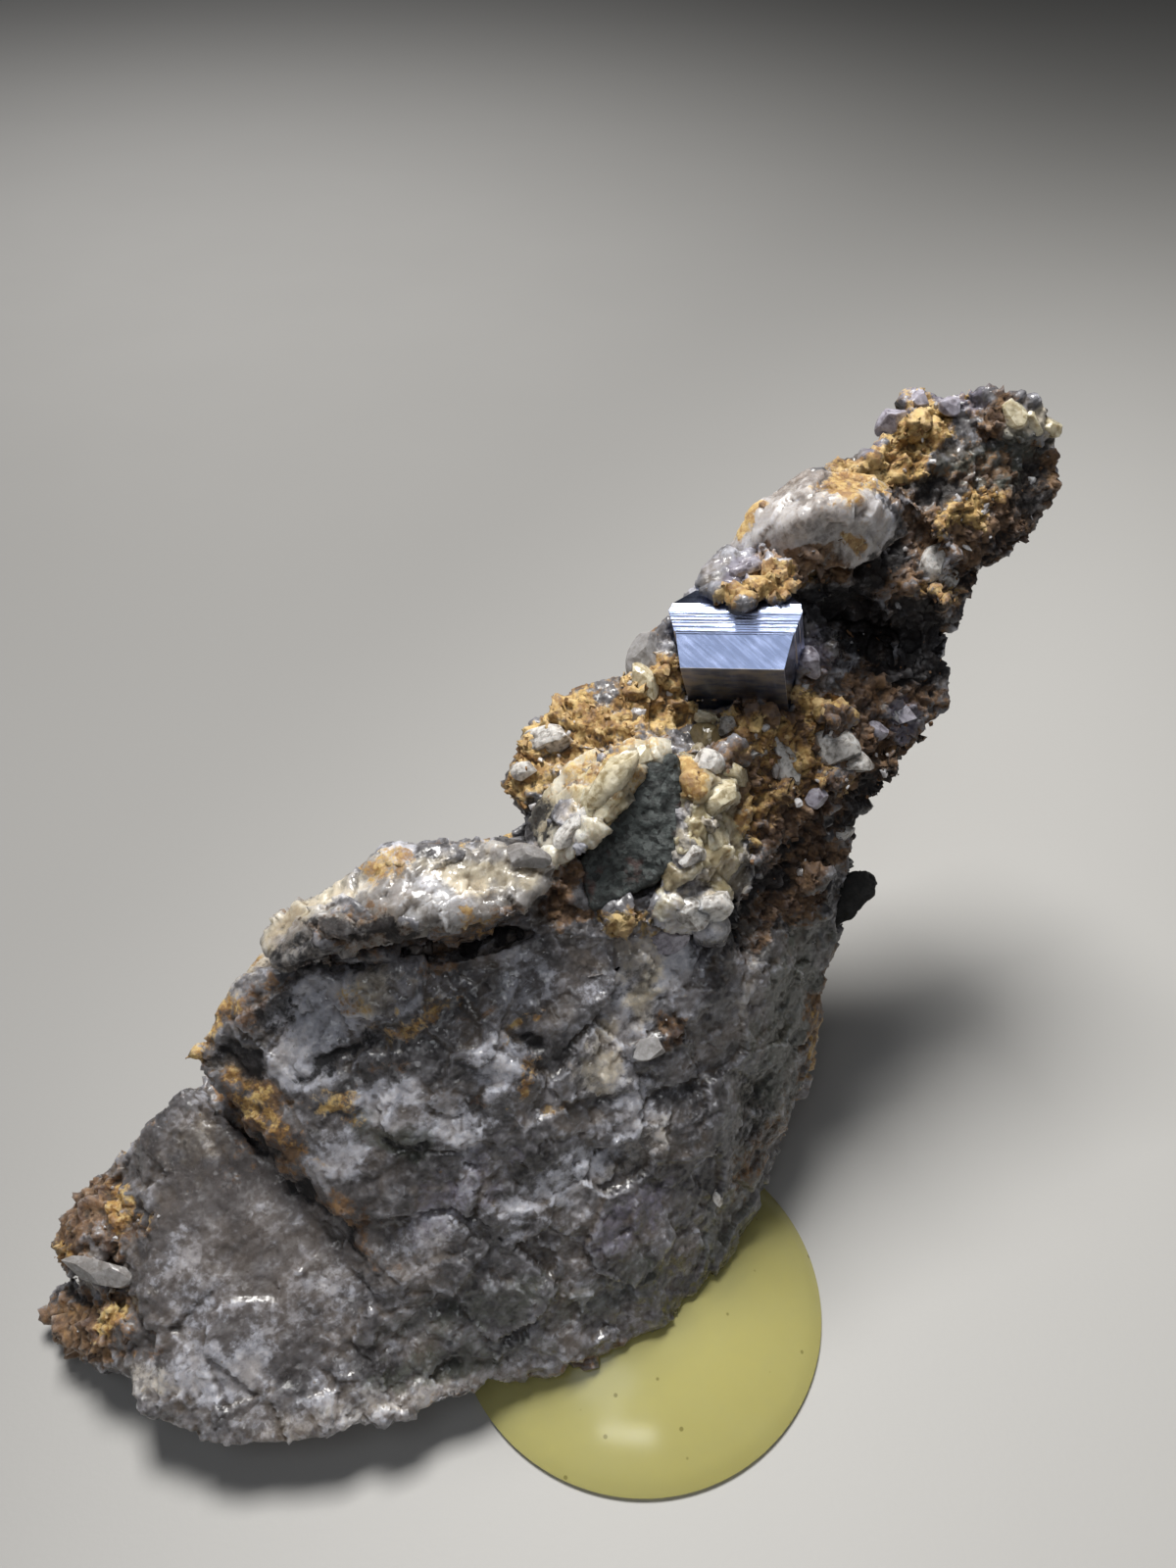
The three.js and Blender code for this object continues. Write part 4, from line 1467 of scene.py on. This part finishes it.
@dataclass
class Crumbs:
    """Small grains strewn where a covering is, joined in one piece."""

    grounds: Sequence[RockPart]
    name: str
    zones: tuple[Zone, ...]
    count: int
    size: tuple[float, float]
    finish: CrumbFinish
    seed: int
    shape: Shape = Shape.BLOCK
    wear: float = 0.45
    sunk: float = 0.25
    upright: bool = False
    stray: float = 0.12
    lowest: float = 2.0

    def weights(self, skin: StoneSkin) -> np.ndarray:
        """Weighs where the grains fall.

        Args:
            skin: The stone's skin.

        Returns:
            The chance of a grain at each of its vertices.
        """
        weight = np.zeros(len(skin.points))
        for zone in self.zones:
            weight += skin.thick[zone]
        return np.where(skin.points[:, 2] > self.lowest, weight**2, 0.0)

    def build(self) -> None:
        """Strews the grains and dresses them."""
        rng = np.random.default_rng(self.seed)
        skins = [ground.skin for ground in self.grounds]
        points = np.concatenate([skin.points for skin in skins])
        normals = np.concatenate([skin.normals for skin in skins])
        weights = np.concatenate([self.weights(skin) for skin in skins])
        chosen = rng.choice(len(points), self.count, p=weights / weights.sum())
        corners, faces = self.shape.template()
        number = len(corners)
        radius = self.size[0] + (self.size[1] - self.size[0]) * rng.random(self.count) ** 3
        shape = corners[None] * (1.0 + self.wear * (rng.random((self.count, number, 3)) - 0.5) * 2.0)
        shape = shape * (0.7 + 0.6 * rng.random((self.count, 1, 3))) * radius[:, None, None]
        turns = upright_turns(normals[chosen], rng) if self.upright else random_turns(self.count, rng)
        shape = np.einsum("nij,nkj->nki", turns, shape)
        roots = points[chosen] + rng.normal(scale=self.stray, size=(self.count, 3))
        roots = roots - normals[chosen] * (self.sunk * radius)[:, None]
        vertices = (shape + roots[:, None, :]).reshape(-1, 3)
        joined = (faces[None] + number * np.arange(self.count)[:, None, None]).reshape(-1, 3)
        piece = mesh_piece(self.name, vertices, joined)
        set_attribute(piece, "shade", np.repeat(rng.random(self.count), number))
        finish_piece(piece, self.finish.material(), "quartz")


class Hue(Enum):
    """The kinds of single quartz grains."""

    WHITE = "white"
    CREAM = "cream"
    LILAC = "lilac"
    OLIVE = "olive"
    CLEAR = "clear"


@dataclass(frozen=True)
class Grain:
    """A single quartz grain that shows on the face."""

    hue: Hue
    x: float
    y: float
    long: float
    wide: float
    turn: float = 0.0
    raised: float = -0.14


GRAINS = (
    Grain(Hue.CLEAR, 4.4, 9.9, 2.2, 1.4, 65, -0.2),
    Grain(Hue.WHITE, -2.9, 3.4, 2.4, 1.5, 10),
    Grain(Hue.WHITE, -4.9, 1, 1, 0.8),
    Grain(Hue.CREAM, 4, 7.8, 1.7, 1.1, -50),
    Grain(Hue.OLIVE, 8.6, 3.2, 1.7, 1.4, 20),
    Grain(Hue.CREAM, 9.3, 5, 1.6, 0.7, -15),
    Grain(Hue.CREAM, 1.6, 0.6, 2.8, 1.2, 50, -0.3),
    Grain(Hue.CREAM, 0.1, -1.6, 2.8, 1.1, 58, -0.2),
    Grain(Hue.WHITE, -1.2, -3.4, 2.2, 1.0, 60, -0.2),
    Grain(Hue.CREAM, 3.8, 1.9, 2.2, 1.0, 25, -0.3),
    Grain(Hue.WHITE, 18.6, 3, 2.3, 1.7, -35),
    Grain(Hue.WHITE, 20.4, 1.8, 1.5, 1.2, -20),
    Grain(Hue.WHITE, 15, 1.2, 2.2, 1.1, -65),
    Grain(Hue.LILAC, 17.3, -1, 0.9, 0.8, 15, 0.5),
    Grain(Hue.LILAC, 23.8, 5.2, 1.4, 1),
    Grain(Hue.LILAC, 21.8, 4, 1.1, 0.9),
    Grain(Hue.WHITE, 26.4, 16.9, 1.8, 1.1, 70),
    Grain(Hue.WHITE, 27.2, 15.4, 1.2, 0.9, 30),
    Grain(Hue.CREAM, 32.4, 28.2, 1.3, 0.9, -60),
    Grain(Hue.CREAM, 33.8, 27.4, 1.2, 0.8, -45),
    Grain(Hue.CREAM, 35.2, 27.2, 1.3, 0.8, -10),
    Grain(Hue.LILAC, 11.8, 16.4, 1.3, 0.9, 20, 0.4),
    Grain(Hue.LILAC, 23, 27.6, 1.5, 0.9, 50),
    Grain(Hue.LILAC, 25.2, 29, 1.3, 1),
    Grain(Hue.LILAC, 27.6, 28.8, 1.2, 0.8),
    Grain(Hue.CLEAR, -37.4, -36.9, 3, 1.1, -14, 0.1),
    Grain(Hue.CREAM, 10, -1, 1.7, 1.3, 30),
    Grain(Hue.WHITE, 9.2, 1.6, 1.3, 1, -20),
    Grain(Hue.CREAM, 11.2, 0.6, 1.4, 1.1, -30),
    Grain(Hue.CREAM, 9.6, -4.2, 1.8, 1.4, 70),
    Grain(Hue.WHITE, 8, -5.6, 1.1, 0.9),
    Grain(Hue.WHITE, 9.6, -9.2, 2, 1.3, 25),
    Grain(Hue.WHITE, 7.6, -9.8, 1.6, 1.2, -30),
    Grain(Hue.LILAC, 6.2, -11.6, 1.6, 1.3, 30),
    Grain(Hue.CLEAR, -4.8, -5.6, 1.8, 0.9, -10, 0.4),
    Grain(Hue.WHITE, 9.8, -31.2, 1.1, 0.5, 115),
    Grain(Hue.CLEAR, 4.4, -20.2, 1.5, 1.1, 15),
    Grain(Hue.WHITE, 19.4, -3.8, 1.1, 0.7, 40),
    Grain(Hue.WHITE, 12.6, 2.4, 1, 0.8),
    Grain(Hue.LILAC, 7.2, 8.4, 0.8, 0.6),
    Grain(Hue.WHITE, 10.4, 4.4, 0.9, 0.7, 40),
    Grain(Hue.LILAC, 16.8, 9.2, 1, 1.4, 10),
)

HUE_FINISHES = {
    Hue.WHITE: CrumbFinish("white_quartz", (0.17, 0.15, 0.13), (0.72, 0.7, 0.68), 0.14, 1.8, 0.8),
    Hue.CREAM: CrumbFinish("cream_quartz", (0.3, 0.24, 0.13), (0.68, 0.62, 0.47), 0.16, 1.7, 0.8),
    Hue.LILAC: CrumbFinish("lilac_quartz", (0.12, 0.1, 0.12), (0.46, 0.44, 0.51), 0.12, 1.4, 0.4),
    Hue.OLIVE: CrumbFinish("olive_quartz", (0.05, 0.04, 0.018), (0.19, 0.15, 0.08), 0.18, 1.2, 0.3),
    Hue.CLEAR: CrumbFinish("grey_quartz", (0.16, 0.145, 0.135), (0.34, 0.33, 0.33), 0.1, 1.2, 0.5),
}


@dataclass
class QuartzGrains:
    """The single quartz grains, cut from balls by flat faces and set on the rock."""

    grounds: Sequence[bpy.types.Object]
    grains: tuple[Grain, ...] = GRAINS
    cuts: int = 11
    bevel: float = 0.025
    seed: int = 23
    nearest_cut: float = 0.5
    cut_range: float = 0.42
    flat_angle: float = 7.0
    flatness: float = 0.8

    def build(self) -> None:
        """Cuts every grain, joins those of one hue and dresses them."""
        rng = np.random.default_rng(self.seed)
        bpy.context.view_layer.update()
        for hue in Hue:
            pieces = [self.cut(grain, rng) for grain in self.grains if grain.hue is hue]
            deselect()
            for piece in pieces:
                piece.select_set(True)
            bpy.context.view_layer.objects.active = pieces[0]
            bpy.ops.object.join()
            joined = bpy.context.object
            joined.name = f"{hue.value}_quartz_grains"
            set_attribute(joined, "shade", rng.random(len(joined.data.vertices)) * 0.4 + 0.4)
            finish_piece(joined, HUE_FINISHES[hue].material(), "quartz")

    def root(self, grain: Grain) -> tuple[Vector, Vector]:
        """Finds where a grain sits.

        Args:
            grain: The grain.

        Returns:
            The point of the rock that shows there, in millimetres, and the rock's normal.
        """
        eye = FACE.eye()
        aim = FACE.world((grain.x, grain.y, 0.0)) - eye
        found = [ground.ray_cast(eye * MM, aim.normalized()) for ground in self.grounds]
        hits = [(place, normal) for hit, place, normal, _ in found if hit]
        if not hits:
            LOG.warning("a grain at %s, %s misses the rock", grain.x, grain.y)
            return FACE.world((grain.x, grain.y, 0.0)), Vector(FACE.out())
        place, normal = min(hits, key=lambda pair: (pair[0] - eye * MM).length)
        return place / MM, normal

    def cut(self, grain: Grain, rng: np.random.Generator) -> bpy.types.Object:
        """Cuts one grain.

        Args:
            grain: The grain.
            rng: The source of chance.

        Returns:
            The grain's piece, in place.
        """
        deselect()
        bpy.ops.mesh.primitive_ico_sphere_add(subdivisions=3, radius=1.0)
        piece = bpy.context.object
        with editing(piece):
            for _ in range(self.cuts):
                lean = Vector(rng.normal(size=3)).normalized()
                reach = self.nearest_cut + self.cut_range * rng.random()
                bpy.ops.mesh.select_all(action="SELECT")
                bpy.ops.mesh.bisect(plane_co=lean * reach, plane_no=lean, use_fill=True, clear_outer=True)
            bpy.ops.mesh.select_all(action="SELECT")
            bpy.ops.mesh.dissolve_limited(angle_limit=math.radians(self.flat_angle))
        apply_modifier(piece, "BEVEL", width=self.bevel / grain.wide, segments=1, limit_method="ANGLE")
        place, normal = self.root(grain)
        tilt = Vector(FACE.out()).lerp(normal, 0.5).normalized()
        turn = FACE.turn() @ Matrix.Rotation(math.radians(grain.turn), 3, "Z")
        lean = Vector(FACE.out()).rotation_difference(tilt).to_matrix()
        size = Matrix.Diagonal((grain.long, grain.wide, self.flatness * grain.wide))
        shape = ((lean @ turn @ size) * MM).to_4x4()
        piece.data.transform(Matrix.Translation((place + tilt * (grain.raised * grain.wide)) * MM) @ shape)
        return piece


@dataclass
class AnataseCrystal:
    """The stepped square dipyramid, cut off by a flat base, with its upper half in the rock."""

    centre: tuple[float, float, float] = (11.1, 10.2, 3.8)
    edge: float = 9.3
    base_edge: float = 7.2
    height: float = 4.0
    root: float = 2.6
    shoulder: float = 0.7
    pitch: float = 68.0
    twist: float = 14.0
    roll: float = -7.7
    bevel: float = 0.035
    sharp_angle: float = 25.0
    root_taper: float = 2.2
    shoulder_inset: float = 0.35
    step_run: float = 0.03
    band_slope: float = 0.5
    striations: tuple[tuple[float, float], ...] = (
        (0.22, 0.05), (0.38, 0.04), (0.62, 0.07), (0.8, 0.03), (1.08, 0.04), (1.4, 0.1), (1.52, 0.03),
    )

    def place(self) -> Matrix:
        """Works out the crystal's turn and place.

        Returns:
            The matrix from its own frame to the row frame, in millimetres.
        """
        tilt = Euler((math.radians(self.pitch), 0.0, 0.0)).to_matrix()
        roll = Matrix.Rotation(math.radians(self.roll), 3, "Z")
        twist = Matrix.Rotation(math.radians(self.twist), 3, "Z")
        turn = FACE.turn() @ roll @ tilt @ twist
        return Matrix.Translation(FACE.world(self.centre)) @ turn.to_4x4()

    def rings(self) -> list[tuple[float, float]]:
        """Works out where the crystal's outline changes.

        Returns:
            Heights along its axis, and its edge at each one.
        """
        slope = (self.edge - self.base_edge) / self.height
        narrow = self.edge - self.root_taper * slope * self.root
        rings = [(-self.root, narrow), (-self.shoulder, self.edge - self.shoulder_inset), (0.0, self.edge)]
        lost = 0.0
        for height, depth in self.striations:
            rings.append((height, self.edge - slope * height * self.band_slope - lost))
            lost += 2.0 * depth
            rings.append((height + self.step_run, self.edge - slope * height * self.band_slope - lost))
        return [*rings, (self.height, self.base_edge)]

    def build(self) -> None:
        """Draws the crystal up ring by ring from a square, rounds its edges a little and dresses it."""
        rings = self.rings()
        deselect()
        start, width = rings[0]
        half = math.sqrt(0.5)
        bpy.ops.mesh.primitive_circle_add(
            vertices=4,
            radius=width * half,
            fill_type="NGON",
            location=(0.0, 0.0, start),
            rotation=(0.0, 0.0, math.pi / 4),
        )
        piece = bpy.context.object
        piece.name = "anatase"
        bpy.ops.object.transform_apply(location=True, rotation=True, scale=True)
        with editing(piece):
            for (low, narrow), (high, broad) in zip(rings, rings[1:]):
                bpy.ops.mesh.extrude_region_move(TRANSFORM_OT_translate={"value": (0.0, 0.0, high - low)})
                share = broad / narrow
                bpy.ops.transform.resize(value=(share, share, 1.0), center_override=(0.0, 0.0, high))
            bpy.ops.mesh.select_all(action="SELECT")
            bpy.ops.mesh.normals_make_consistent(inside=False)
        sharp = math.radians(self.sharp_angle)
        apply_modifier(piece, "BEVEL", width=self.bevel, segments=2, limit_method="ANGLE", angle_limit=sharp)
        piece.data.transform(Matrix.Scale(MM, 4) @ self.place())
        finish_piece(piece, AnataseFinish().material(self.place()), "anatase", "anatase_crystal")


@dataclass
class SchistFragment:
    """The dark fragment shut in the quartz."""

    voxel: float = 0.22
    rough: float = 0.22
    swell: float = 0.22
    dent: float = 0.25

    def build(self) -> None:
        """Copies the solid, divides it finely, roughens it and dresses it."""
        piece = copy_of_node("schist_fragment", "schist")
        divide(piece, self.voxel)
        points, normals = mesh_points(piece)
        dents = smooth_step(cloud(points, 0.35, 2, 3.0))
        height = self.swell + self.rough * cloud(points, 1.1, 4) - self.dent * dents
        move_points(piece, points + normals * height[:, None])
        shade_smooth(piece)
        finish_piece(piece, SchistFinish().material(), "schist", "schist_fragment")


@dataclass
class BlackStub:
    """The black stub on the flank's edge."""

    voxel: float = 0.18
    rounding: int = 8
    rough: float = 0.3

    def build(self) -> None:
        """Copies the solid, divides it finely, rounds and roughens it and dresses it."""
        piece = copy_of_node("black_stub", "stub")
        divide(piece, self.voxel, self.rounding)
        points, normals = mesh_points(piece)
        move_points(piece, points + normals * (self.rough * cloud(points, 0.8, 4))[:, None])
        shade_smooth(piece)
        finish_piece(piece, StubFinish().material(), "stub", "black_stub")


@dataclass
class ResinDome:
    """The yellow dome, turned about the upright axis."""

    radius: float = 14.6
    height: float = 5.0
    rim: float = 0.5
    rings: int = 20
    sides: int = 144
    edge: float = 0.35
    chamfer: tuple[float, float] = (0.08, 0.1)

    def profile(self) -> list[tuple[float, float]]:
        """Works out the dome's outline.

        Returns:
            Radius and height, from the middle of its base to its top.
        """
        rise = self.height - self.rim
        ball = (self.radius**2 + rise**2) / (2.0 * rise)
        sweep = math.asin(self.radius / ball)
        inset, lift = self.chamfer
        outline = [(0.0, 0.0), (self.radius - self.edge, 0.0)]
        outline += [(self.radius - inset, lift), (self.radius, self.edge)]
        for ring in range(1, self.rings):
            angle = sweep * (1.0 - ring / self.rings)
            outline.append((ball * math.sin(angle), self.height - ball * (1.0 - math.cos(angle))))
        return [*outline, (0.0, self.height)]

    def build(self) -> None:
        """Spins the outline round, closes it and dresses it."""
        outline = np.array([(r, 0.0, z) for r, z in self.profile()])
        piece = mesh_piece("resin_dome_body", outline, [])
        piece.data.edges.add(len(outline) - 1)
        pairs = [(i, i + 1) for i in range(len(outline) - 1)]
        piece.data.edges.foreach_set("vertices", np.array(pairs).ravel())
        with editing(piece):
            bpy.ops.mesh.spin(steps=self.sides, angle=math.tau, center=(0.0, 0.0, 0.0), axis=(0.0, 0.0, 1.0))
            bpy.ops.mesh.select_all(action="SELECT")
            bpy.ops.mesh.remove_doubles(threshold=MERGE)
            bpy.ops.mesh.normals_make_consistent(inside=False)
        bpy.ops.object.shade_smooth_by_angle(angle=math.radians(40.0))
        finish_piece(piece, ResinFinish().material(), "resin", "resin_dome")


@dataclass(frozen=True)
class Lamp:
    """A soft light: where it is, what it looks at, its sides and how bright its face is."""

    name: str
    place: tuple[float, float, float]
    aim: tuple[float, float, float]
    sides: tuple[float, float]
    radiance: float
    colour: Colour

    def build(self) -> None:
        """Adds the light."""
        data = bpy.data.lights.new(self.name, "AREA")
        data.shape = "RECTANGLE"
        data.size = self.sides[0] * MM
        data.size_y = self.sides[1] * MM
        data.energy = self.radiance * math.pi * data.size * data.size_y
        data.color = self.colour
        lamp = bpy.data.objects.new(self.name, data)
        bpy.context.scene.collection.objects.link(lamp)
        lamp.location = Vector(self.place) * MM
        lamp.rotation_euler = (Vector(self.aim) - Vector(self.place)).to_track_quat("-Z", "Y").to_euler()


@dataclass
class Studio:
    """A pale floor with painted light and shade on it, soft lights and the camera."""

    floor_side: float = 6000.0
    floor_drop: float = 0.05
    # The floor's colours and fades paint light and shade across it.
    floor_colour: Colour = (0.46, 0.453, 0.442)
    floor_left: Colour = (0.285, 0.28, 0.275)
    far_left: Colour = (0.82, 0.81, 0.8)
    far_right: Colour = (0.34, 0.337, 0.33)
    near_fade: tuple[float, float] = (-20.0, 90.0)
    across_fade: tuple[float, float] = (-160.0, 160.0)
    far_fade: tuple[float, float] = (90.0, 420.0)
    lens: float = 28.08
    sky: Colour = (0.95, 0.97, 1.0)
    sky_strength: float = 0.035
    lamps: tuple[Lamp, ...] = (
        Lamp("overhead", (-40, 104, 308), (-5, 15, 15), (110, 110), 36, (1, 0.985, 0.95)),
        Lamp("front", (-18, -164, 254), (0, 0, 10), (110, 26), 8, (0.97, 0.98, 1)),
        Lamp("panel", (-77, -98, 352), (7, 28, 44), (140, 115), 1.8, (0.88, 0.94, 1)),
    )

    def build(self) -> None:
        """Makes the floor, the lights, the sky and the camera."""
        self.floor()
        for lamp in self.lamps:
            lamp.build()
        self.surroundings()
        self.camera()

    def floor(self) -> None:
        """Lays the floor, with painted light and shade across it."""
        deselect()
        bpy.ops.mesh.primitive_grid_add(
            x_subdivisions=4,
            y_subdivisions=4,
            size=self.floor_side * MM,
            location=(0.0, 0.0, -self.floor_drop * MM),
        )
        floor = bpy.context.object
        floor.name = "floor"
        g = Graph("pale_table")
        place = g.node("ShaderNodeSeparateXYZ", None, {"Vector": g.place})
        across = Signal(g, place.outputs[0])
        along = Signal(g, place.outputs[1]) + g.noise(0.02, 3.0) * 20.0
        # Painted light and shade: the near floor darkens towards the left and the back, and the far floor
        # goes from painted light at the left to painted shade at the right.
        near = g.mix((along * 0.5 - across).rise(*self.near_fade), self.floor_colour, self.floor_left)
        far = g.mix(across.rise(*self.across_fade), self.far_left, self.far_right)
        colour = g.mix(along.rise(*self.far_fade), near, far)
        normal = g.bump(g.noise(2.0, 3.0) * 0.05, 0.2)
        floor.data.materials.append(g.surface({"Base Color": colour, "Roughness": 0.6, "Normal": normal}))

    def surroundings(self) -> None:
        """Sets the even light of the room."""
        world = bpy.data.worlds.new("room")
        world.use_nodes = True
        background = world.node_tree.nodes["Background"]
        background.inputs["Color"].default_value = (*self.sky, 1.0)
        background.inputs["Strength"].default_value = self.sky_strength
        bpy.context.scene.world = world
        bpy.context.scene.view_settings.view_transform = "Standard"

    def camera(self) -> None:
        """Sets the camera in front of the specimen's face."""
        data = bpy.data.cameras.new("camera")
        data.lens = self.lens
        data.clip_start = MM
        camera = bpy.data.objects.new("camera", data)
        bpy.context.scene.collection.objects.link(camera)
        camera.location = FACE.eye() * MM
        camera.rotation_euler = (math.radians(FACE.slope), 0.0, 0.0)
        bpy.context.scene.camera = camera


OCHRE_CRUMBS = CrumbFinish("ochre_crumbs", (0.2, 0.1, 0.03), (0.58, 0.42, 0.22), 0.85, 0.9)
RUST_CRUMBS = CrumbFinish("rust_crumbs", (0.03, 0.016, 0.009), (0.22, 0.12, 0.06), 0.75, 0.9)
MILKY_CHIPS = CrumbFinish("milky_chips", (0.3, 0.28, 0.28), (0.68, 0.67, 0.69), 0.25, 0.8, 0.6)


def crusts(parts: Sequence[RockPart]) -> tuple[Crumbs, ...]:
    """The crumbs, chips and quartz points on the crusted places.

    Args:
        parts: The rock that they sit on.

    Returns:
        The crumbs, in order.
    """
    small = (0.06, 0.38)
    mixed = (Zone.OCHRE, Zone.RUST)
    return (
        Crumbs(parts, "ochre_crust", (Zone.OCHRE,), 700, small, OCHRE_CRUMBS, 31, sunk=0.4),
        Crumbs(parts, "rust_crust", (Zone.RUST,), 800, small, RUST_CRUMBS, 37, sunk=0.4),
        Crumbs(parts, "crust_chips", mixed, 110, (0.12, 0.55), MILKY_CHIPS, 47, Shape.BALL, sunk=0.5),
        Crumbs(parts, "quartz_points", mixed, 70, (0.2, 0.7), MILKY_CHIPS, 53, Shape.POINT, 0.2, 0.3, True),
    )


def main() -> None:
    """Builds every piece in order."""
    logging.basicConfig(level=logging.INFO, format="%(message)s")
    parts = rock_parts()
    lumps = quartz_lumps()
    for stone in (*parts, *lumps):
        stone.build()
    for crust in crusts(parts):
        crust.build()
    QuartzGrains([stone.piece for stone in (*parts, *lumps)]).build()
    AnataseCrystal().build()
    SchistFragment().build()
    BlackStub().build()
    ResinDome().build()
    Studio().build()


if __name__ == "__main__":
    main()
